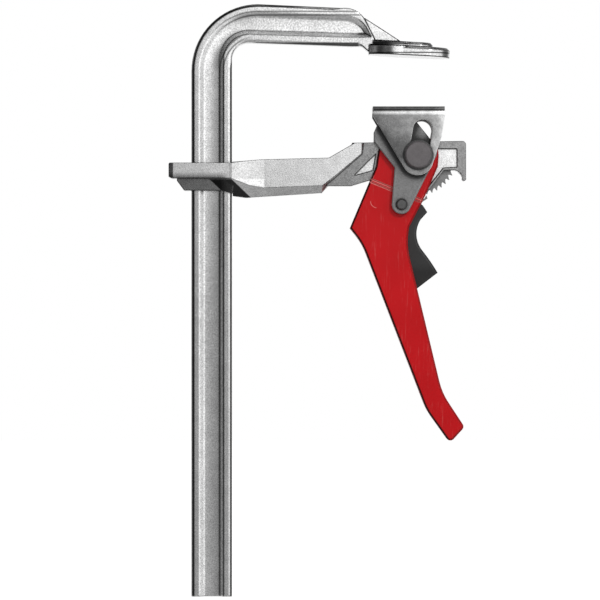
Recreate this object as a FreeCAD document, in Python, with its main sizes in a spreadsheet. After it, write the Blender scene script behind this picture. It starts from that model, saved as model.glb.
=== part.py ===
import FreeCAD, Part
import math
import os
import re
import Sketcher

# Lever bar clamp. Origin at the middle of the fixed jaw's face, Z up, front towards -Y.
# The rail stands at the left, the sliding arm runs on it and carries the ratchet lever.

doc = FreeCAD.newDocument("bar_clamp")
sheet = doc.addObject("Spreadsheet::Sheet", "sizes")

# Driving dimensions, in millimetres and degrees
SIZES = {
    # Rail: a profiled bar, bent over at the top and forged out into the fixed jaw
    "throat_depth": 80.0,
    "rail_width": 18.2,
    "rail_thickness": 8.5,
    "rail_drop": 242.7,
    "rail_edge_round": 1.4,
    "flange_width": 3.7,
    "groove_slope": 2.0,
    "groove_depth": 1.7,
    "arm_top_rise": 23.4,
    "arm_height": 17.4,
    "bend_outer_radius": 30.0,
    "bend_inner_radius": 7.5,
    "jaw_length": 36.4,
    "jaw_width": 21.0,
    "jaw_thickness": 4.3,
    "jaw_boss_width": 13.0,
    "jaw_boss_height": 6.4,
    "jaw_gusset_thickness": 4.6,
    "jaw_tilt": 2.8,
    "jaw_edge_bevel": 1.0,
    # Sliding arm: a forging with a collar round the rail and a thinner head
    "pin_offset": 3.5,
    "jaw_opening": 22.8,
    "rail_clearance": 0.35,
    "collar_wall": 3.45,
    "arm_depth": 25.8,
    "arm_half_thickness": 6.0,
    "arm_core_half": 3.2,
    "boss_half_thickness": 6.2,
    "head_thickness": 9.0,
    "head_web_thickness": 7.0,
    "head_reach": 21.65,
    # Pivot pin, its washers and its collar
    "pin_diameter": 8.0,
    "pin_head_radius": 6.1,
    "pin_head_height": 2.6,
    "pin_head_chamfer": 0.5,
    "washer_radius": 6.75,
    "washer_thickness": 1.0,
    "running_fit": 0.08,
    "side_play": 0.25,
    # Ratchet rack in the head, and the pawl that meets it
    "rack_tip_radius": 17.87,
    "tooth_depth": 1.47,
    "tooth_pitch": 7.8,
    "first_tooth_angle": 29.8,
    "rack_thickness": 3.0,
    "rack_inner_radius": 11.8,
    "rack_fit": 0.1,
    "rack_rivet_diameter": 3.0,
    "rack_rivet_radius": 13.9,
    "tooth_clearance": 0.24,
    "tip_clearance": 0.22,
    "engage_angle": 8.0,
    "pawl_thickness": 3.0,
    "pawl_hub_radius": 4.4,
    "pawl_neck": 3.6,
    "pawl_pin_diameter": 2.0,
    # Lever handle: one pressed sheet channel
    "lever_length": 128.1,
    "lever_sheet": 2.0,
    "lever_hub_radius": 9.3,
    "lever_lip": 2.3,
    "lever_edge_bevel": 0.8,
    "lever_tip_round": 2.0,
    "lever_bow_radius": 30.0,
    "lever_crease": 0.35,
    # Cam plates riveted outside the handle
    "cam_thickness": 3.0,
    "cam_rest_height": 19.25,
    "cam_lift": 11.7,
    "cam_tail_angle": 38.6,
    "cam_nose_angle": 100.0,
    "cam_hub_radius": 7.3,
    "cam_hub_angle": -28.3,
    "cam_corner_round": 1.2,
    "cam_edge_bevel": 0.5,
    "cam_lobe_radius": 4.3,
    # Pressure plate: a bent sheet that rides on the cams
    "plate_length": 32.1,
    "plate_sheet": 2.5,
    "plate_bend_radius": 3.1,
    "plate_rise": 21.85,
    "plate_hub_radius": 7.1,
    "slot_half_width": 4.4,
    "slot_lean": 10.0,
    "slot_above": 11.7,
    "slot_below": 2.0,
    # Trigger, its rivet, sleeve and spring
    "rivet_left": 7.47,
    "rivet_drop": 22.05,
    "rivet_diameter": 3.4,
    "rivet_head_radius": 2.3,
    "rivet_head_height": 1.1,
    "rivet_head_bevel": 0.4,
    "sleeve_radius": 2.9,
    "trigger_length": 34.7,
    "trigger_thickness": 8.8,
    "trigger_hub_radius": 4.9,
    "trigger_edge_bevel": 0.8,
    "slot_play": 0.12,
    "pawl_pin_reach": 5.9,
    "pawl_pin_angle": 1.5,
    "spring_wire": 0.8,
    "spring_radius": 2.2,
    "spring_seat_gap": 0.28,
    "overrun": 20.0,
}
for row, (alias, value) in enumerate(SIZES.items(), start=1):
    sheet.set(f"A{row}", alias)
    sheet.set(f"B{row}", str(value))
    sheet.setAlias(f"B{row}", alias)
doc.recompute()


def bound(text):
    """The same sum, with each size's name made a reference to the sheet."""
    return re.sub(r"[a-z_]+", lambda word: "sizes." + word[0] if word[0] in SIZES else word[0], text)


def number(text):
    """What a sum of named sizes comes to."""
    return float(sheet.evalExpression(bound(text)))


# Places that several pieces share, as sums of the sizes
RAIL_LEFT = "(-throat_depth - rail_width)"
RAIL_RIGHT = "(-throat_depth)"
RAIL_HALF = "(rail_thickness / 2)"
PIN_Z = "(-jaw_opening - plate_rise)"
HEAD_HALF = "(head_thickness / 2)"
CHEEK_INNER = "(head_thickness / 2 + side_play)"
CHEEK_OUTER = "(head_thickness / 2 + side_play + lever_sheet)"
CAM_OUTER = "(head_thickness / 2 + side_play + lever_sheet + cam_thickness)"
PLATE_INNER = f"({CAM_OUTER} + side_play)"
PLATE_OUTER = f"({PLATE_INNER} + plate_sheet)"
WASHER_FACE = f"({PLATE_OUTER} + side_play)"
PIN_RADIUS = "(pin_diameter / 2)"
RACK_ROOT = "(rack_tip_radius - tooth_depth)"

# Pixels of the photograph that outlines are drawn in. Each outline is scaled by a real length of its
# piece: the pixel count beside it is that same length in the photograph.
PIN_PIXEL = (417.6, 155.7)
JAW_PIXEL = (409.8, 56.6)
RIVET_PIXEL = (401.0, 204.7)
JAW_PIXELS = 80.8
JAW_RISE_PIXELS = 51.95
ARM_PIXELS = 226.3
ARM_DEPTH_PIXELS = 57.3
HEAD_PIXELS = 48.1
LEVER_PIXELS = 284.6
TRIGGER_PIXELS = 77.1
CAM_PIXELS = 42.8


def from_pixel(pixel, origin, across, up=None):
    """The two sums that place a pixel, from an origin pixel and its scales."""
    up = up or across
    right = round(pixel[0] - origin[0], 1)
    above = round(origin[1] - pixel[1], 1)
    return f"({right} * {across})", f"({above} * {up})"


# Marks a point of an outline that ends an arc tangent to the edge before it
SMOOTH = "smooth"


def drawn(place, pixels):
    """Outline points from pixels. A pair of pixels is an arc by way of the first, and a pixel
    marked smooth ends an arc that carries on from the edge before it."""
    points = []
    for pixel in pixels:
        if pixel[0] == SMOOTH:
            points.append((SMOOTH,) + place(pixel[1]))
        elif isinstance(pixel[0], tuple):
            points.append(place(pixel[0]) + place(pixel[1]))
        else:
            points.append(place(pixel))
    return points


def on_plane(item, body, role, offset="0"):
    """Attach a sketch to one of its body's own planes, moved along the plane's normal."""
    plane = [part for part in body.Origin.OriginFeatures if part.Role == role][0]
    item.AttachmentSupport = [(plane, "")]
    item.MapMode = "FlatFace"
    if offset != "0":
        item.setExpression("AttachmentOffset.Base.z", bound(offset))


def new_body(label, at=None):
    """A body of its own, placed by sums of the sizes."""
    body = doc.addObject("PartDesign::Body", label)
    body.Label = label
    if at:
        for axis, text in zip("xyz", at):
            body.setExpression(f"Placement.Base.{axis}", bound(text))
    return body


def crown_of(start, heading, end):
    """The half way point of the arc that leaves start with a heading and ends at end."""
    chord = end - start
    run = FreeCAD.Vector(chord).normalize()
    side = heading - run * heading.dot(run)
    lean = math.atan2(side.Length, heading.dot(run))
    return (start + end) / 2 + side.normalize() * (chord.Length / 2 * math.tan(lean / 2))


def heading_at_end(start, via, end):
    """Which way an arc runs where it ends."""
    arc = Part.Arc(start, via, end)
    return FreeCAD.Vector(arc.tangent(arc.LastParameter)[0]).normalize()


def outline(body, name, points, role="XZ_Plane", offset="0"):
    """A closed outline. A point of two sums ends a straight edge, one of four an arc by way of
    its first two, and one marked smooth an arc that carries on from the edge before it.
    The last point leads back to the first."""
    sketch = body.newObject("Sketcher::SketchObject", name)
    on_plane(sketch, body, role, offset)
    vector = FreeCAD.Vector
    ends = [vector(number(p[-2]), number(p[-1]), 0) for p in points]
    edges, vias = [], []
    for i, point in enumerate(points):
        last = ends[i - 1]
        if len(point) > 2:
            smooth = point[0] == SMOOTH
            if smooth:
                via = crown_of(last, heading, ends[i])
            else:
                via = vector(number(point[0]), number(point[1]), 0)
            clockwise = (via - last).cross(ends[i] - via).z < 0
            edges.append(Part.Arc(ends[i], via, last) if clockwise else Part.Arc(last, via, ends[i]))
            heading = heading_at_end(last, via, ends[i])
            if not smooth:
                vias.append((i, point, via))
        else:
            edges.append(Part.LineSegment(last, ends[i]))
            heading = (ends[i] - last).normalize()
    sketch.addGeometry(edges, False)
    rules, sums = [], []

    def tie(element, place, point):
        for kind, text in (("DistanceX", point[0]), ("DistanceY", point[1])):
            rules.append(Sketcher.Constraint(kind, -1, 1, element, place, number(text)))
            sums.append((len(rules) - 1, text))

    def finish(i):
        """Which end of an edge is its last: a clockwise arc is stored the other way round."""
        edge = sketch.Geometry[i]
        far = edge.EndPoint.distanceToPoint(ends[i]) > edge.StartPoint.distanceToPoint(ends[i])
        return (1, 2) if far else (2, 1)

    for i, point in enumerate(points):
        after = (i + 1) % len(points)
        joint = "Tangent" if points[after][0] == SMOOTH else "Coincident"
        rules.append(Sketcher.Constraint(joint, i, finish(i)[0], after, finish(after)[1]))
        tie(i, finish(i)[0], point[-2:])
    for i, point, via in vias:
        marker = sketch.addGeometry(Part.Point(via), True)
        tie(marker, 1, point[:2])
        rules.append(Sketcher.Constraint("PointOnObject", marker, 1, i))
    sketch.addConstraint(rules)
    for index, text in sums:
        sketch.setExpression(f"Constraints[{index}]", bound(text))
    return sketch


def circles(body, name, centres, radius, role="XZ_Plane", offset="0"):
    """Circles of one radius at the given centres."""
    sketch = body.newObject("Sketcher::SketchObject", name)
    on_plane(sketch, body, role, offset)
    for across, up in centres:
        middle = FreeCAD.Vector(number(across), number(up), 0)
        ring = sketch.addGeometry(Part.Circle(middle, FreeCAD.Vector(0, 0, 1), number(radius)), False)
        first = len(sketch.Constraints)
        sketch.addConstraint([
            Sketcher.Constraint("DistanceX", -1, 1, ring, 3, number(across)),
            Sketcher.Constraint("DistanceY", -1, 1, ring, 3, number(up)),
            Sketcher.Constraint("Radius", ring, number(radius)),
        ])
        for step, text in enumerate((across, up, radius)):
            sketch.setExpression(f"Constraints[{first + step}]", bound(text))
    return sketch


def feature(body, kind, profile, length=None, taper=None, both=True, back=False):
    """A pad or pocket of a profile; with no length a pocket goes right through."""
    item = body.newObject(f"PartDesign::{kind}", f"{profile.Name}_{kind.lower()}")
    item.Profile = profile
    item.setExpression("Length", bound(length or "rail_drop * 2"))
    item.SideType = "Symmetric" if both else "One side"
    item.Reversed = back
    if taper:
        item.setExpression("TaperAngle", bound(taper))
    doc.recompute()
    return item


def mirror(body, items, role="XZ_Plane"):
    """The same features again on the other side of one of the body's planes."""
    item = body.newObject("PartDesign::Mirrored", items[0].Name + "_mirror")
    item.Originals = items
    plane = [part for part in body.Origin.OriginFeatures if part.Role == role][0]
    item.MirrorPlane = (plane, [""])
    body.Tip = item
    doc.recompute()
    return item


def dress(body, kind, size, pick):
    """A fillet or chamfer on the edges of the body that pick chooses."""
    tip = body.Tip
    names = [f"Edge{i}" for i, edge in enumerate(tip.Shape.Edges, start=1) if pick(edge)]
    item = body.newObject(f"PartDesign::{kind}", f"{body.Name}_{kind.lower()}_{len(body.Group)}")
    item.Base = (tip, names)
    item.setExpression("Radius" if kind == "Fillet" else "Size", bound(size))
    doc.recompute()
    return item


def near(value, text):
    """Whether a coordinate equals a sum of sizes."""
    return abs(value - number(text)) < number("running_fit") / 4


def along(edge, axis):
    """Whether an edge runs straight along an axis."""
    ends = [vertex.Point for vertex in edge.Vertexes]
    if len(ends) < 2:
        return False
    run = ends[1] - ends[0]
    return abs(abs(getattr(run, axis)) - run.Length) < number("running_fit") / 4


# Outlines of the rail's end in pixels: the bar, its groove, and the gusset above the jaw
BAR_END_PIXELS = ((343, 8.5), ((355, 10.8), (363.9, 18.3)), (376.9, 44), (385, 50), (370.5, 54.2),
                  (362, 46.8), (350, 46.9))
GROOVE_END_PIXELS = ((343, 16.4), ((357, 19.5), (366.5, 28)), (371.5, 37.5), (352, 38.2))
GUSSET_PIXELS = ((360, 22), (364.8, 18.3), (401.4, 42), (401.4, 50), (372, 50))
# Plan of the jaw: along it in shares of its length, across it in shares of its half width
JAW_LEFT_SHARE = 0.51
JAW_BEND_SHARE = 0.39
JAW_SHOULDER_SHARE = 0.1
JAW_RIGHT_SHARE = 0.49
BOSS_RIGHT_SHARE = 0.28
SHOULDER_WIDTH_SHARE = 0.82
NOSE_SHARE = 1.1
BOSS_WAIST_SHARE = 0.8


def make_rail():
    """Profiled bar, bent over and forged out into the fixed jaw: one piece."""
    body = new_body("rail")

    def at(pixel):
        return from_pixel(pixel, JAW_PIXEL, f"jaw_length / {JAW_PIXELS}", f"arm_top_rise / {JAW_RISE_PIXELS}")

    under = "(arm_top_rise - arm_height)"
    outer_x = f"({RAIL_LEFT} + bend_outer_radius)"
    outer_z = "(arm_top_rise - bend_outer_radius)"
    inner_x = f"({RAIL_RIGHT} + bend_inner_radius)"
    inner_z = f"({under} - bend_inner_radius)"

    def bend(middle, radius):
        """The half way point of a bend about its middle, towards the upper left."""
        return f"{middle[0]} - ({radius}) * cos(45)", f"{middle[1]} + ({radius}) * sin(45)"

    outer, inner = (outer_x, outer_z), (inner_x, inner_z)
    bar = outline(body, "bar_outline", [
        (RAIL_LEFT, "-rail_drop"),
        (RAIL_LEFT, outer_z),
        bend(outer, "bend_outer_radius") + (outer_x, "arm_top_rise"),
    ] + drawn(at, BAR_END_PIXELS) + [
        (inner_x, under),
        bend(inner, "bend_inner_radius") + (RAIL_RIGHT, inner_z),
        (RAIL_RIGHT, "-rail_drop"),
    ])
    feature(body, "Pad", bar, "rail_thickness")
    arm_end = number(at(BAR_END_PIXELS[0])[0])
    dress(body, "Fillet", "rail_edge_round",
          lambda edge: all(near(abs(v.Y), RAIL_HALF) for v in edge.Vertexes) and not along(edge, "y")
          and edge.BoundBox.XMin < arm_end - number("bend_inner_radius")
          and edge.BoundBox.ZMax > number("-rail_drop / 2"))
    groove = outline(body, "groove_outline", [
        (f"{RAIL_LEFT} + flange_width", "-rail_drop - overrun"),
        (f"{RAIL_LEFT} + flange_width", outer_z),
        bend(outer, "bend_outer_radius - flange_width") + (outer_x, "arm_top_rise - flange_width"),
    ] + drawn(at, GROOVE_END_PIXELS) + [
        (inner_x, f"{under} + flange_width"),
        bend(inner, "bend_inner_radius + flange_width") + (f"{RAIL_RIGHT} - flange_width", inner_z),
        (f"{RAIL_RIGHT} - flange_width", "-rail_drop - overrun"),
    ], offset=RAIL_HALF)
    cut = feature(body, "Pocket", groove, "groove_depth", taper="-atan(groove_slope / groove_depth)",
                  both=False)
    mirror(body, [cut])
    left, right = f"(-jaw_length * {JAW_LEFT_SHARE})", f"(jaw_length * {JAW_RIGHT_SHARE})"
    shoulder = f"(-jaw_length * {JAW_SHOULDER_SHARE})"
    tilt = math.radians(number("jaw_tilt"))
    for name, reach, wide, start, tall, waist in (
        ("jaw_plate", right, "(jaw_width / 2)", "0", "jaw_thickness", RAIL_HALF),
        ("jaw_boss", f"(jaw_length * {BOSS_RIGHT_SHARE})", "(jaw_boss_width / 2)", "(jaw_thickness / 2)",
         "jaw_boss_height", f"({RAIL_HALF} * {BOSS_WAIST_SHARE})"),
    ):
        bulge, broad = f"(-jaw_length * {JAW_BEND_SHARE})", f"({wide} * {SHOULDER_WIDTH_SHARE})"
        nose = f"({reach} - {wide} * {NOSE_SHARE})"
        plan = outline(body, name, [
            (left, f"-{waist}"),
            (bulge, f"-{broad}", shoulder, f"-{wide}"),
            (nose, f"-{wide}"),
            (reach, "0", nose, wide),
            (shoulder, wide),
            (bulge, broad, left, waist),
        ], role="XY_Plane")
        plan.setExpression("AttachmentOffset.Rotation.Axis.y", "1")
        plan.setExpression("AttachmentOffset.Rotation.Axis.z", "0")
        plan.setExpression("AttachmentOffset.Rotation.Angle", bound("jaw_tilt"))
        plan.setExpression("AttachmentOffset.Base.z", bound(start))
        feature(body, "Pad", plan, f"{tall} - {start}", both=False)
        dress(body, "Chamfer", "jaw_edge_bevel",
              lambda edge: edge.BoundBox.XMin > number(f"{shoulder} - running_fit") and all(
                  near(v.X * math.sin(tilt) + v.Z * math.cos(tilt), tall) for v in edge.Vertexes))
    gusset = outline(body, "jaw_gusset", drawn(at, GUSSET_PIXELS))
    feature(body, "Pad", gusset, "jaw_gusset_thickness")
    return body


# Outlines of the sliding arm in pixels
COLLAR_BAND_PIXELS = ((169.8, 163), (231, 163), (236, 178.8), (222, 178.4), (172, 178.4), (168.8, 177),
                      (168.8, 164.2))
COLLAR_BOSS_PIXELS = ((177, 170), (236, 170), (232, 193.5), (221, 190.7), (184, 190.5), (177, 181))
ARM_TOP_PIXELS = ((259.7, 159.8), (328.7, 158.0), (354.6, 143.1), (363.5, 143.1))
ARM_LEFT_PIXEL = (214, 163)
ARM_UNDER_PIXELS = ((363.2, 154.3), (329, 185.3), (321.6, 193.0), (246, 197.8), (229.4, 195.6), (214, 178.4))
FACE_LEFT_PIXEL = (231, 163)
FACE_UNDER_PIXELS = ((359.5, 154.1), (342.1, 167), (322.8, 180.3), (250, 181.8), (232, 179), (231, 178.4))
ARM_TAPER_PIXELS = (232, 264)
HEAD_STEP_PIXELS = (361.5, 364.5)
HEAD_OUTLINE_PIXELS = ((352, 143.0), (461.9, 141.2), ((464.6, 142.3), (465.7, 145)), (465.7, 178.3),
                       ((463.6, 180.9), (462.2, 177.8)), ((459.0, 172.8), (453.0, 170.2)), (443.6, 170.6),
                       (429.3, 189.7), (412, 193.4), (392, 190), (369.8, 180.4), (351, 186.2), (325, 186.2),
                       (345, 163))
HEAD_RECESS_PIXELS = ((428, 149), (456.7, 149), (456.7, 167.5), (452, 167.5), (443, 168), (428, 187))
HEAD_POCKET_PIXELS = ((353.5, 176), (375.6, 154), (372.9, 170.6))


def make_sliding_arm():
    """Forging: collar round the rail, bevelled arm, thinner head with its recesses and slot."""
    body = new_body("sliding_arm", ("pin_offset", "0", PIN_Z))
    collar_half = "(rail_thickness / 2 + rail_clearance + collar_wall)"

    def at(pixel):
        return from_pixel(pixel, PIN_PIXEL, f"(throat_depth + rail_width + pin_offset) / {ARM_PIXELS}",
                          f"arm_depth / {ARM_DEPTH_PIXELS}")

    def head(pixel):
        return from_pixel(pixel, PIN_PIXEL, f"head_reach / {HEAD_PIXELS}")

    def across(x):
        return at((x, PIN_PIXEL[1]))[0]

    band = outline(body, "collar_band", drawn(at, COLLAR_BAND_PIXELS))
    feature(body, "Pad", band, f"{collar_half} * 2")
    lower = outline(body, "collar_boss", drawn(at, COLLAR_BOSS_PIXELS))
    feature(body, "Pad", lower, "boss_half_thickness * 2")
    inner = drawn(at, (ARM_LEFT_PIXEL,) + ARM_TOP_PIXELS + ARM_UNDER_PIXELS)
    outer = drawn(at, (FACE_LEFT_PIXEL,) + ARM_TOP_PIXELS + FACE_UNDER_PIXELS)
    core = outline(body, "arm_core", inner)
    feature(body, "Pad", core, "arm_core_half * 2")
    near_face = outline(body, "arm_near_face", inner, offset="arm_core_half")
    far_face = outline(body, "arm_far_face", outer, offset=collar_half)
    side = body.newObject("PartDesign::AdditiveLoft", "arm_side")
    side.Profile = near_face
    side.Sections = [far_face]
    side.Ruled = True
    doc.recompute()
    mirror(body, [side])
    taper_start, taper_end = [across(x) for x in ARM_TAPER_PIXELS]
    step_start, step_end = [across(x) for x in HEAD_STEP_PIXELS]
    plan = outline(body, "arm_plan", [
        (taper_start, collar_half),
        (taper_end, "arm_half_thickness"),
        (step_start, "arm_half_thickness"),
        (step_end, HEAD_HALF),
        ("overrun * 2", HEAD_HALF),
        ("overrun * 2", f"{collar_half} + overrun"),
        (taper_start, f"{collar_half} + overrun"),
    ], role="XY_Plane")
    trim = feature(body, "Pocket", plan)
    mirror(body, [trim])
    frame = outline(body, "head_outline", drawn(head, HEAD_OUTLINE_PIXELS))
    feature(body, "Pad", frame, "head_thickness")
    depth = "(head_thickness - head_web_thickness) / 2"
    for name, pixels in (("head_recess", HEAD_RECESS_PIXELS), ("head_pocket", HEAD_POCKET_PIXELS)):
        hollow = outline(body, name, drawn(head, pixels), offset=HEAD_HALF)
        cut = feature(body, "Pocket", hollow, depth, both=False)
        mirror(body, [cut])
    bore = circles(body, "pin_bore", [("0", "0")], f"{PIN_RADIUS} + running_fit")
    feature(body, "Pocket", bore)
    wide = f"({RAIL_HALF} + rail_clearance)"
    slot_left = f"{RAIL_LEFT} - rail_clearance - pin_offset"
    slot_right = f"{RAIL_RIGHT} + rail_clearance - pin_offset"
    slot = outline(body, "rail_slot", [
        (slot_left, f"-{wide}"), (slot_right, f"-{wide}"), (slot_right, wide), (slot_left, wide),
    ], role="XY_Plane")
    feature(body, "Pocket", slot)
    seat = outline(body, "rack_seat", sector(
        f"(first_tooth_angle - tooth_pitch * {SEAT_START_SHARE})",
        f"(first_tooth_angle + tooth_pitch * {SEAT_END_SHARE})",
        "rack_inner_radius - rack_fit", "rack_tip_radius + overrun"))
    feature(body, "Pocket", seat, "rack_thickness + rack_fit * 2")
    holes = circles(body, "rack_rivet_holes", rivet_places(), "rack_rivet_diameter / 2")
    feature(body, "Pocket", holes)
    return body


# Places along the rack, in pitches from its first tooth
SEAT_START_SHARE = 1.0
SEAT_END_SHARE = 10.6
RACK_START_SHARE = 0.9
RACK_END_SHARE = 10.5
RACK_RIVET_SHARES = (6.2, 9.2)


def polar(angle, radius):
    """A place below the pin: an angle below +X and a distance."""
    return f"({radius}) * cos({angle})", f"-({radius}) * sin({angle})"


def sector(start, end, inner, outer):
    """The outline of a ring's piece between two angles below +X."""
    middle = f"(({start} + {end}) / 2)"
    return [
        polar(end, inner),
        polar(middle, inner) + polar(start, inner),
        polar(start, outer),
        polar(middle, outer) + polar(end, outer),
    ]


def rivet_places():
    """Where the rack's two rivets sit, behind the lever's cheeks."""
    return [polar(f"(first_tooth_angle + tooth_pitch * {share})", "rack_rivet_radius")
            for share in RACK_RIVET_SHARES]


def turned(label, rings, at, bore=None, role="XZ_Plane"):
    """A stack of discs along Y: each is a radius, its front and its back distance."""
    body = new_body(label, at)
    for i, (radius, front, back) in enumerate(rings):
        disc = circles(body, f"{label}_disc_{i}", [("0", "0")], radius, role, offset=f"({front})")
        feature(body, "Pad", disc, f"({front}) - ({back})", both=False, back=True)
    if bore:
        hole = circles(body, f"{label}_bore", [("0", "0")], bore, role)
        feature(body, "Pocket", hole)
    return body


def rim(edge):
    """Whether an edge is a full circle."""
    return len(edge.Vertexes) == 1 and edge.Length > 0


def make_pivot():
    """The big pin with its front head, a washer at each side, and the collar at the back."""
    at = ("pin_offset", "0", PIN_Z)
    face = f"({WASHER_FACE} + washer_thickness)"
    pin = turned("pivot_pin", [
        ("pin_head_radius", f"{face} + pin_head_height", face),
        (PIN_RADIUS, face, f"-{face} - pin_head_height"),
    ], at)
    dress(pin, "Chamfer", "pin_head_chamfer",
          lambda edge: rim(edge) and near(edge.BoundBox.YMin, f"-{face} - pin_head_height"))
    collar = turned("rear_pin_collar", [
        ("pin_head_radius", f"-{face}", f"-{face} - pin_head_height"),
    ], at, bore=PIN_RADIUS)
    dress(collar, "Chamfer", "pin_head_chamfer",
          lambda edge: rim(edge) and near(edge.BoundBox.YMax, f"{face} + pin_head_height")
          and edge.BoundBox.XLength > number("pin_diameter + running_fit"))
    loose = f"{PIN_RADIUS} + running_fit"
    front = turned("front_washer", [("washer_radius", face, WASHER_FACE)], at, bore=loose)
    rear = turned("rear_washer", [("washer_radius", f"-{WASHER_FACE}", f"-{face}")], at, bore=loose)
    return [pin, collar, front, rear]


def make_rack_rivets():
    """Two flush rivets through the head and the rack."""
    body = new_body("rack_rivets", ("pin_offset", "0", PIN_Z))
    for i, place in enumerate(rivet_places()):
        disc = circles(body, f"rack_rivet_{i}", [place], "rack_rivet_diameter / 2")
        feature(body, "Pad", disc, "head_thickness")
    return body


def place_below_pin(angle, radius, centre=(0, 0)):
    """A point in the plane of the mechanism, from numbers."""
    turn = math.radians(angle)
    return FreeCAD.Vector(radius * math.cos(turn) + centre[0], 0, centre[1] - radius * math.sin(turn))


def closed_plate(edges, front, back):
    """A flat plate between two depths from the edges of its outline."""
    face = Part.Face(Part.Wire(Part.__sortEdges__(edges)))
    face.translate(FreeCAD.Vector(0, -number(front), 0))
    return face.extrude(FreeCAD.Vector(0, number(front) - number(back), 0))


# Where a rack tooth's corners lie, as shares of the pitch from its tip
LAND_SHARE = 0.10
SLOPE_SHARE = 0.62
FACE_SHARE = 0.13
RACK_TEETH = 10
PAWL_TEETH = 2
MESH_TOOTH = 6
# How far the pawl's underside lies beyond its teeth, and where it turns, in pitches
PAWL_THROAT_SHARE = 0.4
PAWL_HEEL_SHARE = 1.35


def rack_profile():
    """The toothed edge, from the first tooth round to the last, with round gullets."""
    pitch, tip, root = number("tooth_pitch"), number("rack_tip_radius"), number(RACK_ROOT)
    edges = []
    last = place_below_pin(number("first_tooth_angle") - pitch * SLOPE_SHARE, root)
    first = last
    for tooth in range(RACK_TEETH):
        angle = number("first_tooth_angle") + pitch * tooth
        crest = place_below_pin(angle - pitch * LAND_SHARE, tip)
        point = place_below_pin(angle, tip)
        foot = place_below_pin(angle + pitch * FACE_SHARE, root)
        next_root = place_below_pin(angle + pitch * (1 - SLOPE_SHARE), root)
        sag = place_below_pin(angle - pitch * (SLOPE_SHARE + LAND_SHARE) / 2, (tip + root * 2) / 3)
        edges += [
            Part.Arc(last, sag, crest).toShape(),
            Part.LineSegment(crest, point).toShape(),
            Part.LineSegment(point, foot).toShape(),
            Part.LineSegment(foot, next_root).toShape(),
        ]
        last = next_root
    return edges, first, last


def make_rack():
    """Hardened arc of saw teeth about the pin, set in the head's slot."""
    edges, first, last = rack_profile()
    inner = number("rack_inner_radius")
    start = number(f"first_tooth_angle - tooth_pitch * {RACK_START_SHARE}")
    end = number(f"first_tooth_angle + tooth_pitch * {RACK_END_SHARE}")
    corner, far = place_below_pin(end, inner), place_below_pin(start, inner)
    stop, begin = place_below_pin(end, number(RACK_ROOT)), place_below_pin(start, number(RACK_ROOT))
    edges += [
        Part.LineSegment(last, stop).toShape(),
        Part.LineSegment(stop, corner).toShape(),
        Part.Arc(corner, place_below_pin((start + end) / 2, inner), far).toShape(),
        Part.LineSegment(far, begin).toShape(),
        Part.LineSegment(begin, first).toShape(),
    ]
    half = "rack_thickness / 2"
    shape = closed_plate(edges, half, f"-({half})")
    for across, up in rivet_places():
        shape = drilled(shape, FreeCAD.Vector(number(across), 0, number(up)), "rack_rivet_diameter / 2")
    return plain_feature("ratchet_rack", shape, pin_placement())


def drilled(shape, centre, radius):
    """The shape with a hole right through it along Y."""
    depth = number("overrun")
    start = centre - FreeCAD.Vector(0, depth, 0)
    return shape.cut(Part.makeCylinder(number(radius), depth * 2, start, FreeCAD.Vector(0, 1, 0)))


def plain_feature(label, shape, placement):
    """A solid made from a formula, placed after its shape."""
    item = doc.addObject("Part::Feature", label)
    item.Label = label
    item.Shape = shape.removeSplitter()
    item.Placement = placement
    return item


def pin_placement(turn=0):
    """The mechanism's frame: its origin at the pin, turned about the trigger's rivet."""
    pin = FreeCAD.Placement(FreeCAD.Vector(number("pin_offset"), 0, number(PIN_Z)), FreeCAD.Rotation())
    rivet = FreeCAD.Vector(-number("rivet_left"), 0, -number("rivet_drop"))
    spin = FreeCAD.Placement(FreeCAD.Vector(), FreeCAD.Rotation(FreeCAD.Vector(0, 1, 0), turn), rivet)
    return pin.multiply(spin)


def make_pawl():
    """Steel pawl with two teeth, drawn where it meshes and turned back to where it rests."""
    pitch, tip, root = number("tooth_pitch"), number("rack_tip_radius"), number(RACK_ROOT)
    play = math.degrees(number("tooth_clearance") / root)
    crest, base = root + number("tip_clearance"), tip + number("tip_clearance")
    first_gap = number("first_tooth_angle") + pitch * MESH_TOOTH
    points = []
    for tooth in range(PAWL_TEETH):
        angle = first_gap + pitch * tooth
        points += [
            place_below_pin(angle + play, base),
            place_below_pin(angle + play + pitch * FACE_SHARE, crest),
            place_below_pin(angle + pitch * (1 - SLOPE_SHARE) - play, crest),
            place_below_pin(angle + pitch * (1 - LAND_SHARE) - play * 2, base),
        ]
    neck = number("pawl_neck")
    back = place_below_pin(first_gap + pitch * PAWL_TEETH, base)
    front = place_below_pin(first_gap + pitch, base + neck * PAWL_THROAT_SHARE)
    hub = FreeCAD.Vector(-number("rivet_left"), 0, -number("rivet_drop"))
    radius = number("pawl_hub_radius")
    lower = place_below_pin(first_gap + pitch * PAWL_HEEL_SHARE, base + neck)
    points += [
        back,
        hub + FreeCAD.Vector(0, 0, radius),
        hub + FreeCAD.Vector(0, 0, -radius),
        lower,
        front,
    ]
    edges = [Part.LineSegment(a, b).toShape() for a, b in zip(points, points[1:] + points[:1])]
    half = "pawl_thickness / 2"
    shape = closed_plate(edges, half, f"-({half})")
    depth = number("pawl_thickness")
    start = hub - FreeCAD.Vector(0, depth / 2, 0)
    shape = shape.fuse(Part.makeCylinder(radius, depth, start, FreeCAD.Vector(0, 1, 0)))
    shape = drilled(shape, hub, "sleeve_radius + running_fit")
    # The cross pin's hole is drawn where the pawl meshes, so it is turned back with it
    side, rise = [number(text) for text in pawl_pin_place()]
    spin = FreeCAD.Rotation(FreeCAD.Vector(0, 1, 0), -number("engage_angle"))
    shape = drilled(shape, hub + spin.multVec(FreeCAD.Vector(side, 0, rise)), "pawl_pin_diameter / 2")
    return plain_feature("pawl", shape, pin_placement(number("engage_angle")))


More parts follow.
